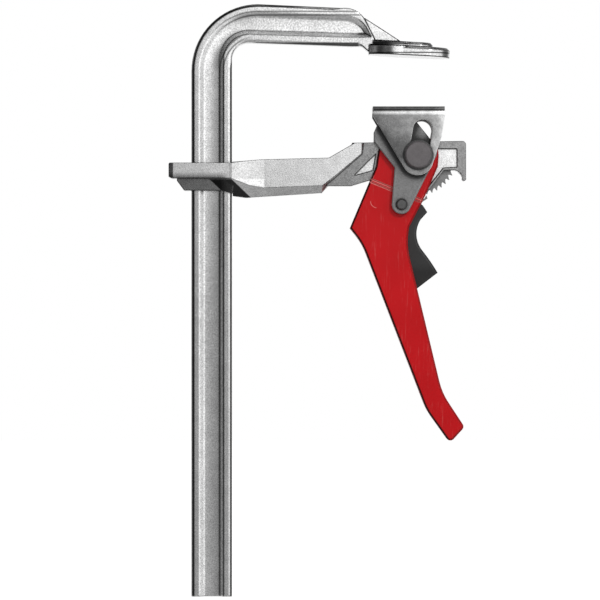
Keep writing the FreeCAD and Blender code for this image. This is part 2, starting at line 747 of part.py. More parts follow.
# The cam's back edge in pixels from the pin, upwards from the rivet's lobe
CAM_BACK_PIXELS = ((-24.3, -24.3), (-23.3, -12.4), (-38.7, 7.0), (-43.7, 13.4), (-43.7, 23.6), (-39.6, 33.0))
CAM_CROWN_STEPS = 12
CAM_CORNER_SHARE = 0.7


def make_cams():
    """Two equal plates whose top edge rises in step with the lever's turn."""
    scale = number(f"cam_rest_height / {CAM_PIXELS}")

    def support(angle):
        return number("cam_rest_height") + number("cam_lift") * math.radians(angle - 90)

    def touch(angle):
        """The point whose outward normal has this angle."""
        turn = math.radians(angle)
        normal = FreeCAD.Vector(math.cos(turn), 0, math.sin(turn))
        side = FreeCAD.Vector(-math.sin(turn), 0, math.cos(turn))
        return normal * support(angle) + side * number("cam_lift")

    tail, nose = number("cam_tail_angle"), number("cam_nose_angle")
    crown = [touch(tail + (nose - tail) * i / CAM_CROWN_STEPS) for i in range(CAM_CROWN_STEPS + 1)]
    curve = Part.BSplineCurve()
    curve.interpolate(crown)
    hub_angle = math.radians(number("cam_hub_angle"))
    tail_angle = math.radians(tail)
    # The straight tail edge and the straight lower edge meet at this corner
    far, close, spread = support(tail), number("cam_hub_radius"), math.sin(hub_angle - tail_angle)
    corner = FreeCAD.Vector((far * math.sin(hub_angle) - close * math.sin(tail_angle)) / spread, 0,
                            (close * math.cos(tail_angle) - far * math.cos(hub_angle)) / spread)
    rivet = FreeCAD.Vector(-number("rivet_left"), 0, -number("rivet_drop"))
    lobe = number("cam_lobe_radius")
    # The lower edge leaves the lobe about the rivet as a tangent
    lean = math.atan2(rivet.z, rivet.x)
    foot = rivet + FreeCAD.Vector(math.cos(hub_angle), 0, math.sin(hub_angle)) * lobe
    bottom = rivet + FreeCAD.Vector(math.cos(lean), 0, math.sin(lean)) * lobe
    left = rivet + FreeCAD.Vector(-lobe, 0, 0)
    heel = [FreeCAD.Vector(x * scale, 0, z * scale) for x, z in CAM_BACK_PIXELS]
    edges = [curve.toShape(), Part.LineSegment(crown[0], corner).toShape(),
             Part.LineSegment(corner, foot).toShape(), Part.Arc(foot, bottom, left).toShape()]
    chain = [left] + heel + [crown[-1]]
    edges += [Part.LineSegment(a, b).toShape() for a, b in zip(chain, chain[1:])]
    made = []
    for label, front, behind in (
        ("cam_plate_front", CAM_OUTER, CHEEK_OUTER),
        ("cam_plate_rear", f"-{CHEEK_OUTER}", f"-{CAM_OUTER}"),
    ):
        shape = closed_plate(edges, front, behind)
        rounding = number("cam_corner_round")
        soft = [edge for edge in shape.Edges if along(edge, "y") and any(
            edge.Vertexes[0].Point.distanceToLine(point, FreeCAD.Vector(0, 1, 0)) < rounding / 4
            for point in heel[1:5] + [crown[-1]])]
        shape = shape.makeFillet(rounding, soft)
        hub = [edge for edge in shape.Edges if along(edge, "y") and
               edge.Vertexes[0].Point.distanceToLine(corner, FreeCAD.Vector(0, 1, 0)) < rounding / 4]
        shape = shape.makeFillet(number(f"cam_hub_radius * {CAM_CORNER_SHARE}"), hub)
        outside = number(front) if front == CAM_OUTER else number(behind)
        rims = [edge for edge in shape.Edges if all(abs(v.Y + outside) < rounding / 4 for v in edge.Vertexes)]
        shape = shape.makeChamfer(number("cam_edge_bevel"), rims)
        shape = drilled(shape, FreeCAD.Vector(), f"{PIN_RADIUS} + running_fit")
        shape = drilled(shape, rivet, "rivet_diameter / 2")
        made.append(plain_feature(label, shape, pin_placement()))
    return made


# The plate's ends each side of the pin in shares of its length, and its cheek's corners
PLATE_LEFT_SHARE = 0.631
PLATE_RIGHT_SHARE = 0.369
PLATE_END_SHARE = 1.8
WAIST_SHARE = 0.6
WAIST_RISE_SHARE = 0.36
PLATE_HUB_ANGLES = (212, 280, 347)


def make_pressure_plate():
    """One bent sheet: flat top, two cheeks with leaning slots that hang on the pin."""
    body = new_body("pressure_plate", ("pin_offset", "0", PIN_Z))
    left, right = f"(-plate_length * {PLATE_LEFT_SHARE})", f"(plate_length * {PLATE_RIGHT_SHARE})"
    low = ("-slot_below * sin(slot_lean)", "-slot_below * cos(slot_lean)")
    high = ("slot_above * sin(slot_lean)", "slot_above * cos(slot_lean)")

    def round_low(angle):
        return f"{low[0]} + plate_hub_radius * cos({angle})", f"{low[1]} + plate_hub_radius * sin({angle})"

    begin, middle, end = [round_low(angle) for angle in PLATE_HUB_ANGLES]
    cheek = outline(body, "cheek_outline", [
        (left, "plate_rise"),
        (left, f"plate_rise - plate_sheet * {PLATE_END_SHARE}"),
        begin,
        middle + end,
        (f"{right} - plate_sheet * {WAIST_SHARE}", f"plate_rise * {WAIST_RISE_SHARE}"),
        (right, f"plate_rise - plate_sheet * {PLATE_END_SHARE}"),
        (right, "plate_rise"),
    ])
    feature(body, "Pad", cheek, f"{PLATE_OUTER} * 2")
    inside = outline(body, "channel", [
        (f"-{PLATE_INNER}", "-overrun"),
        (PLATE_INNER, "-overrun"),
        (PLATE_INNER, "plate_rise - plate_sheet"),
        (f"-{PLATE_INNER}", "plate_rise - plate_sheet"),
    ], role="YZ_Plane")
    feature(body, "Pocket", inside)
    dress(body, "Fillet", "plate_bend_radius",
          lambda edge: along(edge, "x") and near(edge.BoundBox.ZMax, "plate_rise")
          and near(abs(edge.BoundBox.YMax), PLATE_OUTER))
    dress(body, "Fillet", "(plate_bend_radius - plate_sheet)",
          lambda edge: along(edge, "x") and near(edge.BoundBox.ZMax, "plate_rise - plate_sheet")
          and near(abs(edge.BoundBox.YMax), PLATE_INNER))

    def side(point, angle):
        return (f"{point[0]} + slot_half_width * cos({angle})", f"{point[1]} + slot_half_width * sin({angle})")

    slot = outline(body, "pin_slot", [
        side(low, "180 - slot_lean"),
        side(low, "270 - slot_lean") + side(low, "-slot_lean"),
        side(high, "-slot_lean"),
        side(high, "90 - slot_lean") + side(high, "180 - slot_lean"),
    ])
    feature(body, "Pocket", slot)
    return body


# Handle outline in pixels: left side downwards, then the tip, then right side upwards
HANDLE_CHEEK_PIXELS = ((377.9, 151.6), (375.7, 166.8))
HANDLE_HEEL_PIXEL = (349.8, 228.2)
HANDLE_BACK_PIXELS = ((361.9, 243.7), (426.0, 409.6))
HANDLE_TIP_PIXELS = ((449.5, 442.5), (464.1, 426.4))
HANDLE_FRONT_PIXELS = ((441.7, 392.3), (406.4, 245.0))
HANDLE_NECK_PIXELS = ((408.8, 227.2), (425.0, 195.7), (437.5, 166.5))
HANDLE_SHOULDER_PIXEL = (380.0, 146.5)
# Inside of the channel: each pixel of its wall with the shares of the sheet it lies further in
SPACE_BACK_SHARES = (((361.9, 243.7), 1.2), ((426.0, 409.6), 1.3))
SPACE_TIP_SHARES = (((440.0, 422.0), 1.0), ((449.0, 424.0), 0), ((450.0, 414.0), -0.2))
SPACE_FRONT_SHARES = (((444.5, 401.5), -0.3), ((438.7, 380.1), -1.13), ((419.0, 300.0), -1.13),
                      ((419.0, 300.0), 2))
SPACE_CORNERS_PIXELS = ((470, 296), (470, 120), (330, 120), (330, 197))
HEEL_SHARE = 1.5
LIP_GAP_SHARES = (((400.0, 300.0), 0), ((424.0, 380.0), 0), ((439.0, 416.0), 0), ((449.5, 416.0), -0.3),
                  ((475.0, 395.0), 0), ((475.0, 300.0), 0))
CREASE_PIXELS = ((360.0, 174.2), (430.0, 203.0), (430.0, 204.2), (360.0, 175.4))
CREASE_STEPS_PIXELS = (0, 3.2)
LOBE_ANGLES = (-10, 50, 115)
SPRING_SEAT_PIXEL = (373.6, 260.2)


def on_handle(pixel):
    """A place on the handle, from the pin."""
    return from_pixel(pixel, PIN_PIXEL, f"lever_length / {LEVER_PIXELS}")


def make_lever_handle():
    """Pressed channel: two cheeks about the head, a back web, and in-turned lips on the grip."""
    body = new_body("lever_handle", ("pin_offset", "0", PIN_Z))

    def lobe(angle):
        return f"lever_hub_radius * cos({angle})", f"lever_hub_radius * sin({angle})"

    def within(place):
        """A pixel's place moved inwards along X by some thicknesses of the sheet."""
        spot = on_handle(place[0])
        return f"{spot[0]} + lever_sheet * {place[1]}", spot[1]

    whole = outline(body, "handle_outline", drawn(
        on_handle, HANDLE_CHEEK_PIXELS + (HANDLE_HEEL_PIXEL,) + HANDLE_BACK_PIXELS + HANDLE_TIP_PIXELS
        + HANDLE_FRONT_PIXELS + HANDLE_NECK_PIXELS,
    ) + [lobe(LOBE_ANGLES[0]), lobe(LOBE_ANGLES[1]) + lobe(LOBE_ANGLES[2]), on_handle(HANDLE_SHOULDER_PIXEL)])
    feature(body, "Pad", whole, f"{CHEEK_OUTER} * 2")
    for size, pixels in (("lever_bow_radius", HANDLE_BACK_PIXELS + HANDLE_FRONT_PIXELS),
                         ("lever_tip_round", HANDLE_TIP_PIXELS)):
        corners = drawn(on_handle, pixels)
        dress(body, "Fillet", size, lambda edge: along(edge, "y") and any(
            near(edge.Vertexes[0].X, across) and near(edge.Vertexes[0].Z, up) for across, up in corners))
    dress(body, "Chamfer", "lever_edge_bevel",
          lambda edge: all(near(abs(v.Y), CHEEK_OUTER) for v in edge.Vertexes) and not along(edge, "y"))
    corners = drawn(on_handle, SPACE_CORNERS_PIXELS)
    inside = outline(body, "channel_space", corners[3:] + [within((HANDLE_HEEL_PIXEL, HEEL_SHARE))] + [
        within(place) for place in SPACE_BACK_SHARES + SPACE_TIP_SHARES + SPACE_FRONT_SHARES
    ] + corners[:3])
    feature(body, "Pocket", inside, f"{CHEEK_INNER} * 2")
    gap = outline(body, "lip_gap", [within(place) for place in LIP_GAP_SHARES])
    feature(body, "Pocket", gap, f"({CHEEK_INNER} - lever_lip) * 2")
    bore = circles(body, "handle_bore", [("0", "0")], f"{PIN_RADIUS} + running_fit")
    feature(body, "Pocket", bore)
    hole = circles(body, "handle_rivet_hole", [("-rivet_left", "-rivet_drop")], "rivet_diameter / 2")
    feature(body, "Pocket", hole)
    for i, fall in enumerate(CREASE_STEPS_PIXELS):
        line = outline(body, f"cheek_crease_{i}", [on_handle((x, y + fall)) for x, y in CREASE_PIXELS],
                       offset=CHEEK_OUTER)
        cut = feature(body, "Pocket", line, "lever_crease", both=False)
        mirror(body, [cut])
    return body


def rivet_frame():
    """Where the trigger's rivet passes through the mechanism's middle plane."""
    return ("pin_offset - rivet_left", "0", f"{PIN_Z} - rivet_drop")


def make_trigger_rivet():
    """Rivet through the cams and cheeks, with a head at each side."""
    body = turned("trigger_rivet", [
        ("rivet_head_radius", f"{CAM_OUTER} + rivet_head_height", CAM_OUTER),
        ("rivet_diameter / 2", CAM_OUTER, f"-{CAM_OUTER}"),
        ("rivet_head_radius", f"-{CAM_OUTER}", f"-{CAM_OUTER} - rivet_head_height"),
    ], rivet_frame())
    dress(body, "Chamfer", "rivet_head_bevel",
          lambda edge: rim(edge) and near(abs(edge.BoundBox.YMin), f"{CAM_OUTER} + rivet_head_height"))
    return body


def make_trigger_sleeve():
    """Steel sleeve on the rivet, a spacer between the cheeks that the trigger turns on."""
    return turned("trigger_sleeve", [("sleeve_radius", CHEEK_INNER, f"-{CHEEK_INNER}")], rivet_frame(),
                  bore="rivet_diameter / 2")


# Trigger outline in pixels, from the top of its hub down its finger side and back up inside
TRIGGER_FINGER_PIXELS = ((422.5, 205.3), (427.1, 212.3), (420.4, 219.7))
TRIGGER_CURVE_PIXELS = (((416.3, 233.8), (422.1, 250.4)), (SMOOTH, (437.4, 272.7)))
TRIGGER_FOOT_PIXELS = ((416.3, 288.9), (401.5, 284.0))
TRIGGER_INSIDE_PIXELS = ((396.0, 262.0), (391.0, 235.0), (391.5, 206.0))
HUB_ANGLES = (100, 45)
SPRING_END_PIXEL = (394.5, 254.4)


def on_trigger(pixel):
    """A place on the trigger, from its rivet."""
    return from_pixel(pixel, RIVET_PIXEL, f"trigger_length / {TRIGGER_PIXELS}")


def make_trigger():
    """Moulded trigger: hub on the sleeve, finger curve, slot for the pawl and the spring."""
    body = new_body("release_trigger", rivet_frame())
    over, end = [(f"trigger_hub_radius * cos({angle})", f"trigger_hub_radius * sin({angle})")
                 for angle in HUB_ANGLES]
    shape = outline(body, "trigger_outline", drawn(
        on_trigger, TRIGGER_FINGER_PIXELS + TRIGGER_CURVE_PIXELS + TRIGGER_FOOT_PIXELS + TRIGGER_INSIDE_PIXELS,
    ) + [over + end])
    feature(body, "Pad", shape, "trigger_thickness")
    lip = number(on_trigger(TRIGGER_FINGER_PIXELS[1])[1])
    dress(body, "Chamfer", "trigger_edge_bevel",
          lambda edge: all(near(abs(v.Y), "trigger_thickness / 2") for v in edge.Vertexes)
          and not along(edge, "y") and edge.BoundBox.ZMax < lip + number("running_fit")
          and edge.BoundBox.XMax > number("trigger_hub_radius"))
    room = outline(body, "pawl_room", [
        ("-overrun", "trigger_hub_radius * 2"), ("overrun", "trigger_hub_radius * 2"),
        ("overrun", "-pawl_hub_radius - slot_play * 2"), ("-overrun", "-pawl_hub_radius - slot_play * 2"),
    ])
    feature(body, "Pocket", room, "pawl_thickness + slot_play * 2")
    bore = circles(body, "trigger_bore", [("0", "0")], "sleeve_radius + running_fit")
    feature(body, "Pocket", bore)
    cross = circles(body, "pawl_pin_hole", [pawl_pin_place()], "pawl_pin_diameter / 2")
    feature(body, "Pocket", cross)
    return body


# The spring is wound in quarter turns, each of two arcs that meet as a tangent
SPRING_QUARTERS = 14
SPRING_POINTS = 12
WIRE_SIDES = 6


def make_spring():
    """Compression spring from the back web to the trigger: it presses the pawl into the rack."""
    radius, wire = number("spring_radius"), number("spring_wire / 2")
    gap = number("spring_seat_gap") + wire
    seat = [number(text) for text in on_handle(SPRING_SEAT_PIXEL)]
    far = [number(text) for text in on_trigger(SPRING_END_PIXEL)]
    first = FreeCAD.Vector(seat[0], 0, seat[1])
    last = FreeCAD.Vector(far[0] - number("rivet_left"), 0, far[1] - number("rivet_drop"))
    rise = ((last - first).Length - gap * 2) / SPRING_QUARTERS

    def spot(i):
        turn = math.pi / 2 * i
        heading = FreeCAD.Vector(-math.sin(turn) * radius, math.cos(turn) * radius, rise / (math.pi / 2))
        return FreeCAD.Vector(math.cos(turn) * radius, math.sin(turn) * radius, rise * i), heading.normalize()

    edges = []

    def bend(start, heading, end):
        edges.append(Part.Arc(start, crown_of(start, heading, end), end).toShape())

    for i in range(SPRING_QUARTERS):
        (here, out), (there, onward) = spot(i), spot(i + 1)
        step, sway = there - here, out + onward
        spread = 2 * (1 - out.dot(onward))
        reach = (math.sqrt(step.dot(sway) ** 2 + spread * step.dot(step)) - step.dot(sway)) / spread
        middle = (here + there + (out - onward) * reach) / 2
        bend(here, out, middle)
        bend(there, onward * -1, middle)
    path = Part.Wire(Part.__sortEdges__(edges))
    # A six-sided wire keeps so small a coil light
    begin, out = spot(0)
    across = FreeCAD.Placement(begin, FreeCAD.Rotation(FreeCAD.Vector(0, 0, 1), out))
    turns = [2 * math.pi * i / WIRE_SIDES for i in range(WIRE_SIDES)]
    corners = [FreeCAD.Vector(wire * math.cos(turn), wire * math.sin(turn), 0) for turn in turns]
    section = Part.makePolygon([across.multVec(corner) for corner in corners + corners[:1]])
    coil = path.makePipeShell([section], True, False)
    lean = FreeCAD.Rotation(FreeCAD.Vector(0, 0, 1), last - first)
    ease = FreeCAD.Vector(last - first).normalize() * gap
    # The least gap between neighbouring turns, measured on points along the wire
    points = path.discretize(SPRING_QUARTERS * SPRING_POINTS)
    least = min((a - b).Length for i, a in enumerate(points) for b in points[i + SPRING_POINTS * 2:])
    print("trigger_spring gap", round(least - number("spring_wire"), 2), "mm")
    place = FreeCAD.Placement(first + ease, lean)
    return plain_feature("trigger_spring", coil, pin_placement().multiply(place))


def make_pawl_pin():
    """Cross pin that fixes the pawl in the trigger, so that both turn as one."""
    body = new_body("pawl_pin", rivet_frame())
    disc = circles(body, "pawl_pin_disc", [pawl_pin_place()], "pawl_pin_diameter / 2")
    feature(body, "Pad", disc, "trigger_thickness")
    return body


def pawl_pin_place():
    """Beside the sleeve, towards the rack, inside both the pawl and the trigger's hub."""
    return ("pawl_pin_reach * cos(pawl_pin_angle)", "pawl_pin_reach * sin(pawl_pin_angle)")


def check_and_write(pieces):
    """Stop at any failed object; otherwise write each piece to its own file."""
    for item in doc.Objects:
        bad = [state for state in item.State if state in ("Invalid", "Error")]
        assert not bad, (item.Name, item.State)
    os.makedirs("parts", exist_ok=True)
    for piece in pieces:
        shape = piece.Shape
        assert not shape.isNull() and shape.isValid(), piece.Label
        print(piece.Label, len(shape.Solids), "solids", round(shape.Volume), "mm3", len(shape.Faces), "faces",
              [round(v, 1) for v in (shape.BoundBox.XMin, shape.BoundBox.XMax, shape.BoundBox.YMin,
                                     shape.BoundBox.YMax, shape.BoundBox.ZMin, shape.BoundBox.ZMax)])
        shape.exportStep(f"parts/{piece.Label}.step")


pieces = [make_rail(), make_sliding_arm(), make_rack(), make_rack_rivets()]
pieces += make_pivot()
pieces += [make_pressure_plate()]
pieces += make_cams()
pieces += [make_lever_handle(), make_trigger_rivet(), make_trigger_sleeve(), make_trigger(), make_pawl()]
pieces += [make_pawl_pin(), make_spring()]
doc.recompute()
check_and_write(pieces)
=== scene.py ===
# %% [markdown]
# A quick release bar clamp: a profiled steel rail with a forged jaw at its top, and an arm that
# slides on the rail and carries a red ratchet lever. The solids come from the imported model, each in
# its place. This lesson gives every one of them its finish, draws the trigger's spring as a round
# wire, and lights the clamp like a product photograph on white.

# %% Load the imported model
import math

import bpy
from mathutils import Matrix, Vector


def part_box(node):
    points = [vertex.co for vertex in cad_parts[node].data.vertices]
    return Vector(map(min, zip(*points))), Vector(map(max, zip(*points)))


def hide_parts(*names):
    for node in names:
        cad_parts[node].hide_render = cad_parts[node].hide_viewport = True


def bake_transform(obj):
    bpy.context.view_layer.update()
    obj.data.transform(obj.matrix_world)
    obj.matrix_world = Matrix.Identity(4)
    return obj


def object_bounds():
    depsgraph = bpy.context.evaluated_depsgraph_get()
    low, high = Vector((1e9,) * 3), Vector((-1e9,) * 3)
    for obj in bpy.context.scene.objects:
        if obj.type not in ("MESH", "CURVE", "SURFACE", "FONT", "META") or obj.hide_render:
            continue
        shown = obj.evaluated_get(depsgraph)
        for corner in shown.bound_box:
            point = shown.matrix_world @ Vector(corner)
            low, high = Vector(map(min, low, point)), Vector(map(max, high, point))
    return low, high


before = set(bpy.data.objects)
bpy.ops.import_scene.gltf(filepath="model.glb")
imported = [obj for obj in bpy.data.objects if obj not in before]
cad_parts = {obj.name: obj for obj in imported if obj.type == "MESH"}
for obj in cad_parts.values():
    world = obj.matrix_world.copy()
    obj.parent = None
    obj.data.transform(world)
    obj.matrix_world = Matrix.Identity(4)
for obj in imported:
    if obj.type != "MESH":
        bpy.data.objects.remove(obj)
cad_low, cad_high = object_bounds()
print("nodes:", ", ".join(sorted(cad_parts)))

# %% [markdown]
# Lengths are in metres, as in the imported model. A millimetre has a name, because grains, edges and
# soft borders are given in millimetres.

# %% Units
MM = 0.001
print("clamp height in mm:", round((cad_high.z - cad_low.z) / MM, 1))

# %% [markdown]
# The photograph was taken from far away with a long lens, square to the clamp's side, so that the
# rail's edges stay parallel. A camera 1.95 m away, whose frame covers 270 mm at the clamp, repeats
# it.

# %% Camera
CAMERA_DISTANCE = 1.95
FRAME_WIDTH = 0.270
SENSOR_WIDTH = 36.0
VIEW_CENTRE = Vector((-0.04941, 0.0, -0.10953))
CLIP_NEAR, CLIP_FAR = 0.01, 100.0


def make_camera():
    data = bpy.data.cameras.new("camera")
    data.sensor_width = SENSOR_WIDTH
    data.lens = SENSOR_WIDTH * CAMERA_DISTANCE / FRAME_WIDTH
    data.clip_start, data.clip_end = CLIP_NEAR, CLIP_FAR
    camera = bpy.data.objects.new("camera", data)
    camera.location = VIEW_CENTRE + Vector((0.0, -CAMERA_DISTANCE, 0.0))
    camera.rotation_euler = (math.radians(90.0), 0.0, 0.0)
    bpy.context.scene.collection.objects.link(camera)
    bpy.context.scene.camera = camera
    return camera


camera = make_camera()
print("lens in mm:", round(camera.data.lens, 1))

# %% [markdown]
# Node trees are easier to read when each node is made in one line. The first helper makes a node,
# sets its options, and fills or links its inputs. The others are the steps that the finishes
# repeat: sums, ranges, mixes, a soft band between two values, and a tone where a mask is on.

# %% Helpers for node trees
NUMBER_RESULTS = ("DOT_PRODUCT", "LENGTH", "DISTANCE")
BAND_SOFT = 0.0001


def add(tree, kind, inputs=None, **options):
    node = tree.nodes.new(kind)
    for name, value in options.items():
        setattr(node, name, value)
    for name, value in (inputs or {}).items():
        if isinstance(value, bpy.types.NodeSocket):
            tree.links.new(value, node.inputs[name])
        else:
            node.inputs[name].default_value = value
    return node


def maths(tree, operation, first, second=None):
    inputs = {0: first} if second is None else {0: first, 1: second}
    return add(tree, "ShaderNodeMath", inputs, operation=operation).outputs[0]


def times(tree, first, *others):
    for other in others:
        first = maths(tree, "MULTIPLY", first, other)
    return first


def vectors(tree, operation, first, second=None):
    inputs = {0: first} if second is None else {0: first, 1: second}
    node = add(tree, "ShaderNodeVectorMath", inputs, operation=operation)
    return node.outputs["Value" if operation in NUMBER_RESULTS else "Vector"]


def remap(tree, value, low, high, to_low=0.0, to_high=1.0):
    sockets = {"Value": value, "From Min": low, "From Max": high}
    sockets.update({"To Min": to_low, "To Max": to_high})
    return add(tree, "ShaderNodeMapRange", sockets).outputs["Result"]


def mix(tree, factor, first, second):
    sockets = {"Factor": factor, 6: first, 7: second}
    return add(tree, "ShaderNodeMix", sockets, data_type="RGBA", clamp_factor=True).outputs[2]


def band(tree, value, low, high, soft=BAND_SOFT):
    rise = remap(tree, value, low - soft, low + soft)
    fall = remap(tree, value, high + soft, high - soft)
    return times(tree, rise, fall)


def toned(tree, level, mask, tone):
    return times(tree, level, remap(tree, mask, 0.0, 1.0, 1.0, tone))


def scaled(tree, vector, factor):
    sockets = {"Vector": vector, "Scale": factor}
    return add(tree, "ShaderNodeVectorMath", sockets, operation="SCALE").outputs["Vector"]


def split(tree, vector):
    return add(tree, "ShaderNodeSeparateXYZ", {0: vector}).outputs


def grey(level, tint=(1.0, 1.0, 1.0)):
    return tuple(level * share for share in tint) + (1.0,)


print("node helpers are ready")

# %% [markdown]
# Metal looks like what it reflects. A product photographer stands the clamp before a white
# backdrop, hangs dark cards at its left and right, a bright one between the camera and the right,
# and a wide soft box above the camera. So every edge gets a dark line, and every face that leans
# right or up is bright. This world paints the same studio by direction. Matt faces get even light,
# and the camera and rays through glass see plain white.

# %% World
# Round the horizon in turns from straight behind, by the left, the front and the right
HORIZON = (
    (0.0, 1.0), (0.09, 1.0), (0.13, 0.30), (0.17, 0.16), (0.25, 0.18), (0.265, 0.28),
    (0.285, 0.28), (0.305, 0.03), (0.36, 0.02), (0.385, 0.12), (0.41, 0.12), (0.44, 0.02),
    (0.48, 0.20), (0.50, 0.40), (0.53, 0.85), (0.57, 1.28), (0.66, 1.28), (0.705, 1.10),
    (0.735, 0.70), (0.755, 0.16), (0.84, 0.14), (0.87, 0.30), (0.91, 1.0), (1.0, 1.0),
)
# From the horizon to straight above: a wide soft box over the front, darkness above the backdrop
SOFT_BOX = (
    (0.0, 0.60), (0.15, 1.30), (0.36, 1.30), (0.46, 0.12),
    (0.90, 0.08), (0.96, 0.40), (0.985, 0.75), (1.0, 0.75),
)
ABOVE_BACKDROP = (
    (0.0, 1.0), (0.18, 0.90), (0.32, 0.30), (0.60, 0.22), (0.85, 0.14), (1.0, 0.10),
)
# Where the part above the front turns into the part above the backdrop, and the horizon into both
BEHIND_FROM, BEHIND_FULL = -0.05, 0.20
CEILING_FROM, CEILING_FULL = 0.08, 0.32
# The soft box hangs over the middle and the right
BOX_LEFT, BOX_FULL, BOX_SHADE = -0.50, -0.12, 0.12
# Matt faces take the same even light from every side
EVEN_LEVEL = 0.76


def ramp(tree, value, stops):
    node = add(tree, "ShaderNodeFloatCurve", {"Value": value})
    curve = node.mapping.curves[0]
    curve.points[0].location = stops[0]
    curve.points[1].location = stops[-1]
    for stop in stops[1:-1]:
        curve.points.new(*stop)
    for point in curve.points:
        point.handle_type = "VECTOR"
    node.mapping.use_clip = False
    node.mapping.update()
    return node.outputs[0]


def horizon_level(tree, right, back):
    turn = maths(tree, "ARCTAN2", right, times(tree, back, -1.0))
    return ramp(tree, remap(tree, turn, -math.pi, math.pi), HORIZON)


def make_world():
    world = bpy.data.worlds.new("studio")
    bpy.context.scene.world = world
    world.use_nodes = True
    tree = world.node_tree
    tree.nodes.clear()
    part = split(tree, add(tree, "ShaderNodeTexCoord").outputs["Generated"])
    horizon = horizon_level(tree, part["X"], part["Y"])
    behind = remap(tree, part["Y"], BEHIND_FROM, BEHIND_FULL)
    hung = remap(tree, part["X"], BOX_LEFT, BOX_FULL, BOX_SHADE, 1.0)
    soft_box = times(tree, ramp(tree, part["Z"], SOFT_BOX), hung)
    ceiling = mix(tree, behind, soft_box, ramp(tree, part["Z"], ABOVE_BACKDROP))
    studio = mix(tree, remap(tree, part["Z"], CEILING_FROM, CEILING_FULL), horizon, ceiling)
    path = add(tree, "ShaderNodeLightPath").outputs
    seen = maths(tree, "MAXIMUM", path["Is Camera Ray"], path["Is Transmission Ray"])
    colour = mix(tree, path["Is Diffuse Ray"], studio, grey(EVEN_LEVEL))
    colour = mix(tree, seen, colour, grey(1.0))
    background = add(tree, "ShaderNodeBackground", {"Color": colour, "Strength": 1.0})
    output = add(tree, "ShaderNodeOutputWorld")
    tree.links.new(background.outputs[0], output.inputs["Surface"])
    return world


make_world()
print("studio steps:", len(HORIZON), "round the horizon,", len(SOFT_BOX), "up the soft box")

# %% [markdown]
# The floor is a wide disc, so far under the rail's end that the lever clears it when the arm is at
# the bottom of the rail. It keeps a soft shadow, and light of its own, which only the camera sees,
# brings it up to the white of the background. What the metal mirrors below it is painted by place,
# like the studio round it: a dark floor with a strip light, a bright card and the white sweep.

# %% Floor
FLOOR_RADIUS = 6.0
FLOOR_DROP = 0.125
FLOOR_SIDES = 96
FLOOR_TONE, MIRRORED_TONE = 0.30, 0.08
FLOOR_GLOW = 0.86
# In the metal: a strip light on the floor before the clamp, a bright card at its right, the white
# sweep behind it, a pale ring round it all, and the studio's horizon further off
STRIP_LOW, STRIP_HIGH, STRIP_SOFT, STRIP_LEVEL = -0.130, -0.048, 0.020, 0.27
STRIP_TURN, STRIP_BRIGHT, STRIP_BRIGHT_LEVEL = -0.067, -0.058, 1.15
CARD_LOW, CARD_HIGH, CARD_LEVEL = 0.05, 0.14, 0.90
SWEEP_START, SWEEP_FULL, SWEEP_LEVEL = 0.01, 0.08, 0.80
RING_NEAR, RING_FULL, RING_BASE, RING_LEVEL = 0.12, 0.22, 0.10, 0.50
HORIZON_NEAR, HORIZON_FAR = 0.35, 0.80


def mirrored_floor(tree, place):
    part = split(tree, place)
    strip_level = remap(tree, part["Y"], STRIP_TURN, STRIP_BRIGHT, STRIP_LEVEL, STRIP_BRIGHT_LEVEL)
    strip = times(tree, band(tree, part["Y"], STRIP_LOW, STRIP_HIGH, STRIP_SOFT), strip_level)
    card = remap(tree, part["X"], CARD_LOW, CARD_HIGH, 0.0, CARD_LEVEL)
    sweep = remap(tree, part["Y"], SWEEP_START, SWEEP_FULL, 0.0, SWEEP_LEVEL)
    middle = (VIEW_CENTRE.x, 0.0, cad_low.z)
    off = vectors(tree, "DISTANCE", place, middle)
    near = remap(tree, off, RING_NEAR, RING_FULL, RING_BASE, RING_LEVEL)
    for light in (strip, card, sweep):
        near = maths(tree, "MAXIMUM", near, light)
    far = remap(tree, off, HORIZON_NEAR, HORIZON_FAR)
    right = maths(tree, "SUBTRACT", part["X"], VIEW_CENTRE.x)
    return mix(tree, far, near, horizon_level(tree, right, part["Y"]))


def make_floor():
    mesh = bpy.data.meshes.new("floor")
    corners = []
    height = cad_low.z - FLOOR_DROP
    for index in range(FLOOR_SIDES):
        angle = 2.0 * math.pi * index / FLOOR_SIDES
        corners.append((FLOOR_RADIUS * math.cos(angle), FLOOR_RADIUS * math.sin(angle), height))
    mesh.from_pydata(corners, [], [range(FLOOR_SIDES)])
    floor = bpy.data.objects.new("floor", mesh)
    bpy.context.scene.collection.objects.link(floor)
    material = bpy.data.materials.new("white floor")
    material.use_nodes = True
    tree = material.node_tree
    tree.nodes.clear()
    path = add(tree, "ShaderNodeLightPath").outputs
    tone = mix(tree, path["Is Glossy Ray"], grey(FLOOR_TONE), grey(MIRRORED_TONE))
    diffuse = add(tree, "ShaderNodeBsdfDiffuse", {"Color": tone})
    place = add(tree, "ShaderNodeNewGeometry").outputs["Position"]
    seen = maths(tree, "MAXIMUM", path["Is Camera Ray"], path["Is Transmission Ray"])
    white = times(tree, seen, FLOOR_GLOW)
    mirrored = times(tree, path["Is Glossy Ray"], mirrored_floor(tree, place))
    glow = add(tree, "ShaderNodeEmission", {"Strength": maths(tree, "ADD", white, mirrored)})
    both = add(tree, "ShaderNodeAddShader", {0: diffuse.outputs[0], 1: glow.outputs[0]})
    output = add(tree, "ShaderNodeOutputMaterial")
    tree.links.new(both.outputs[0], output.inputs["Surface"])
    mesh.materials.append(material)
    return floor


make_floor()
print("floor height in mm:", round((cad_low.z - FLOOR_DROP) / MM, 1))

# %% [markdown]
# A weak lamp close before the clamp, a little above its jaws, makes the upper half brighter than the
# foot, as in the photograph. The key lamp at the upper right is small, so the pressure plate throws
# a crisp shadow down to its left.

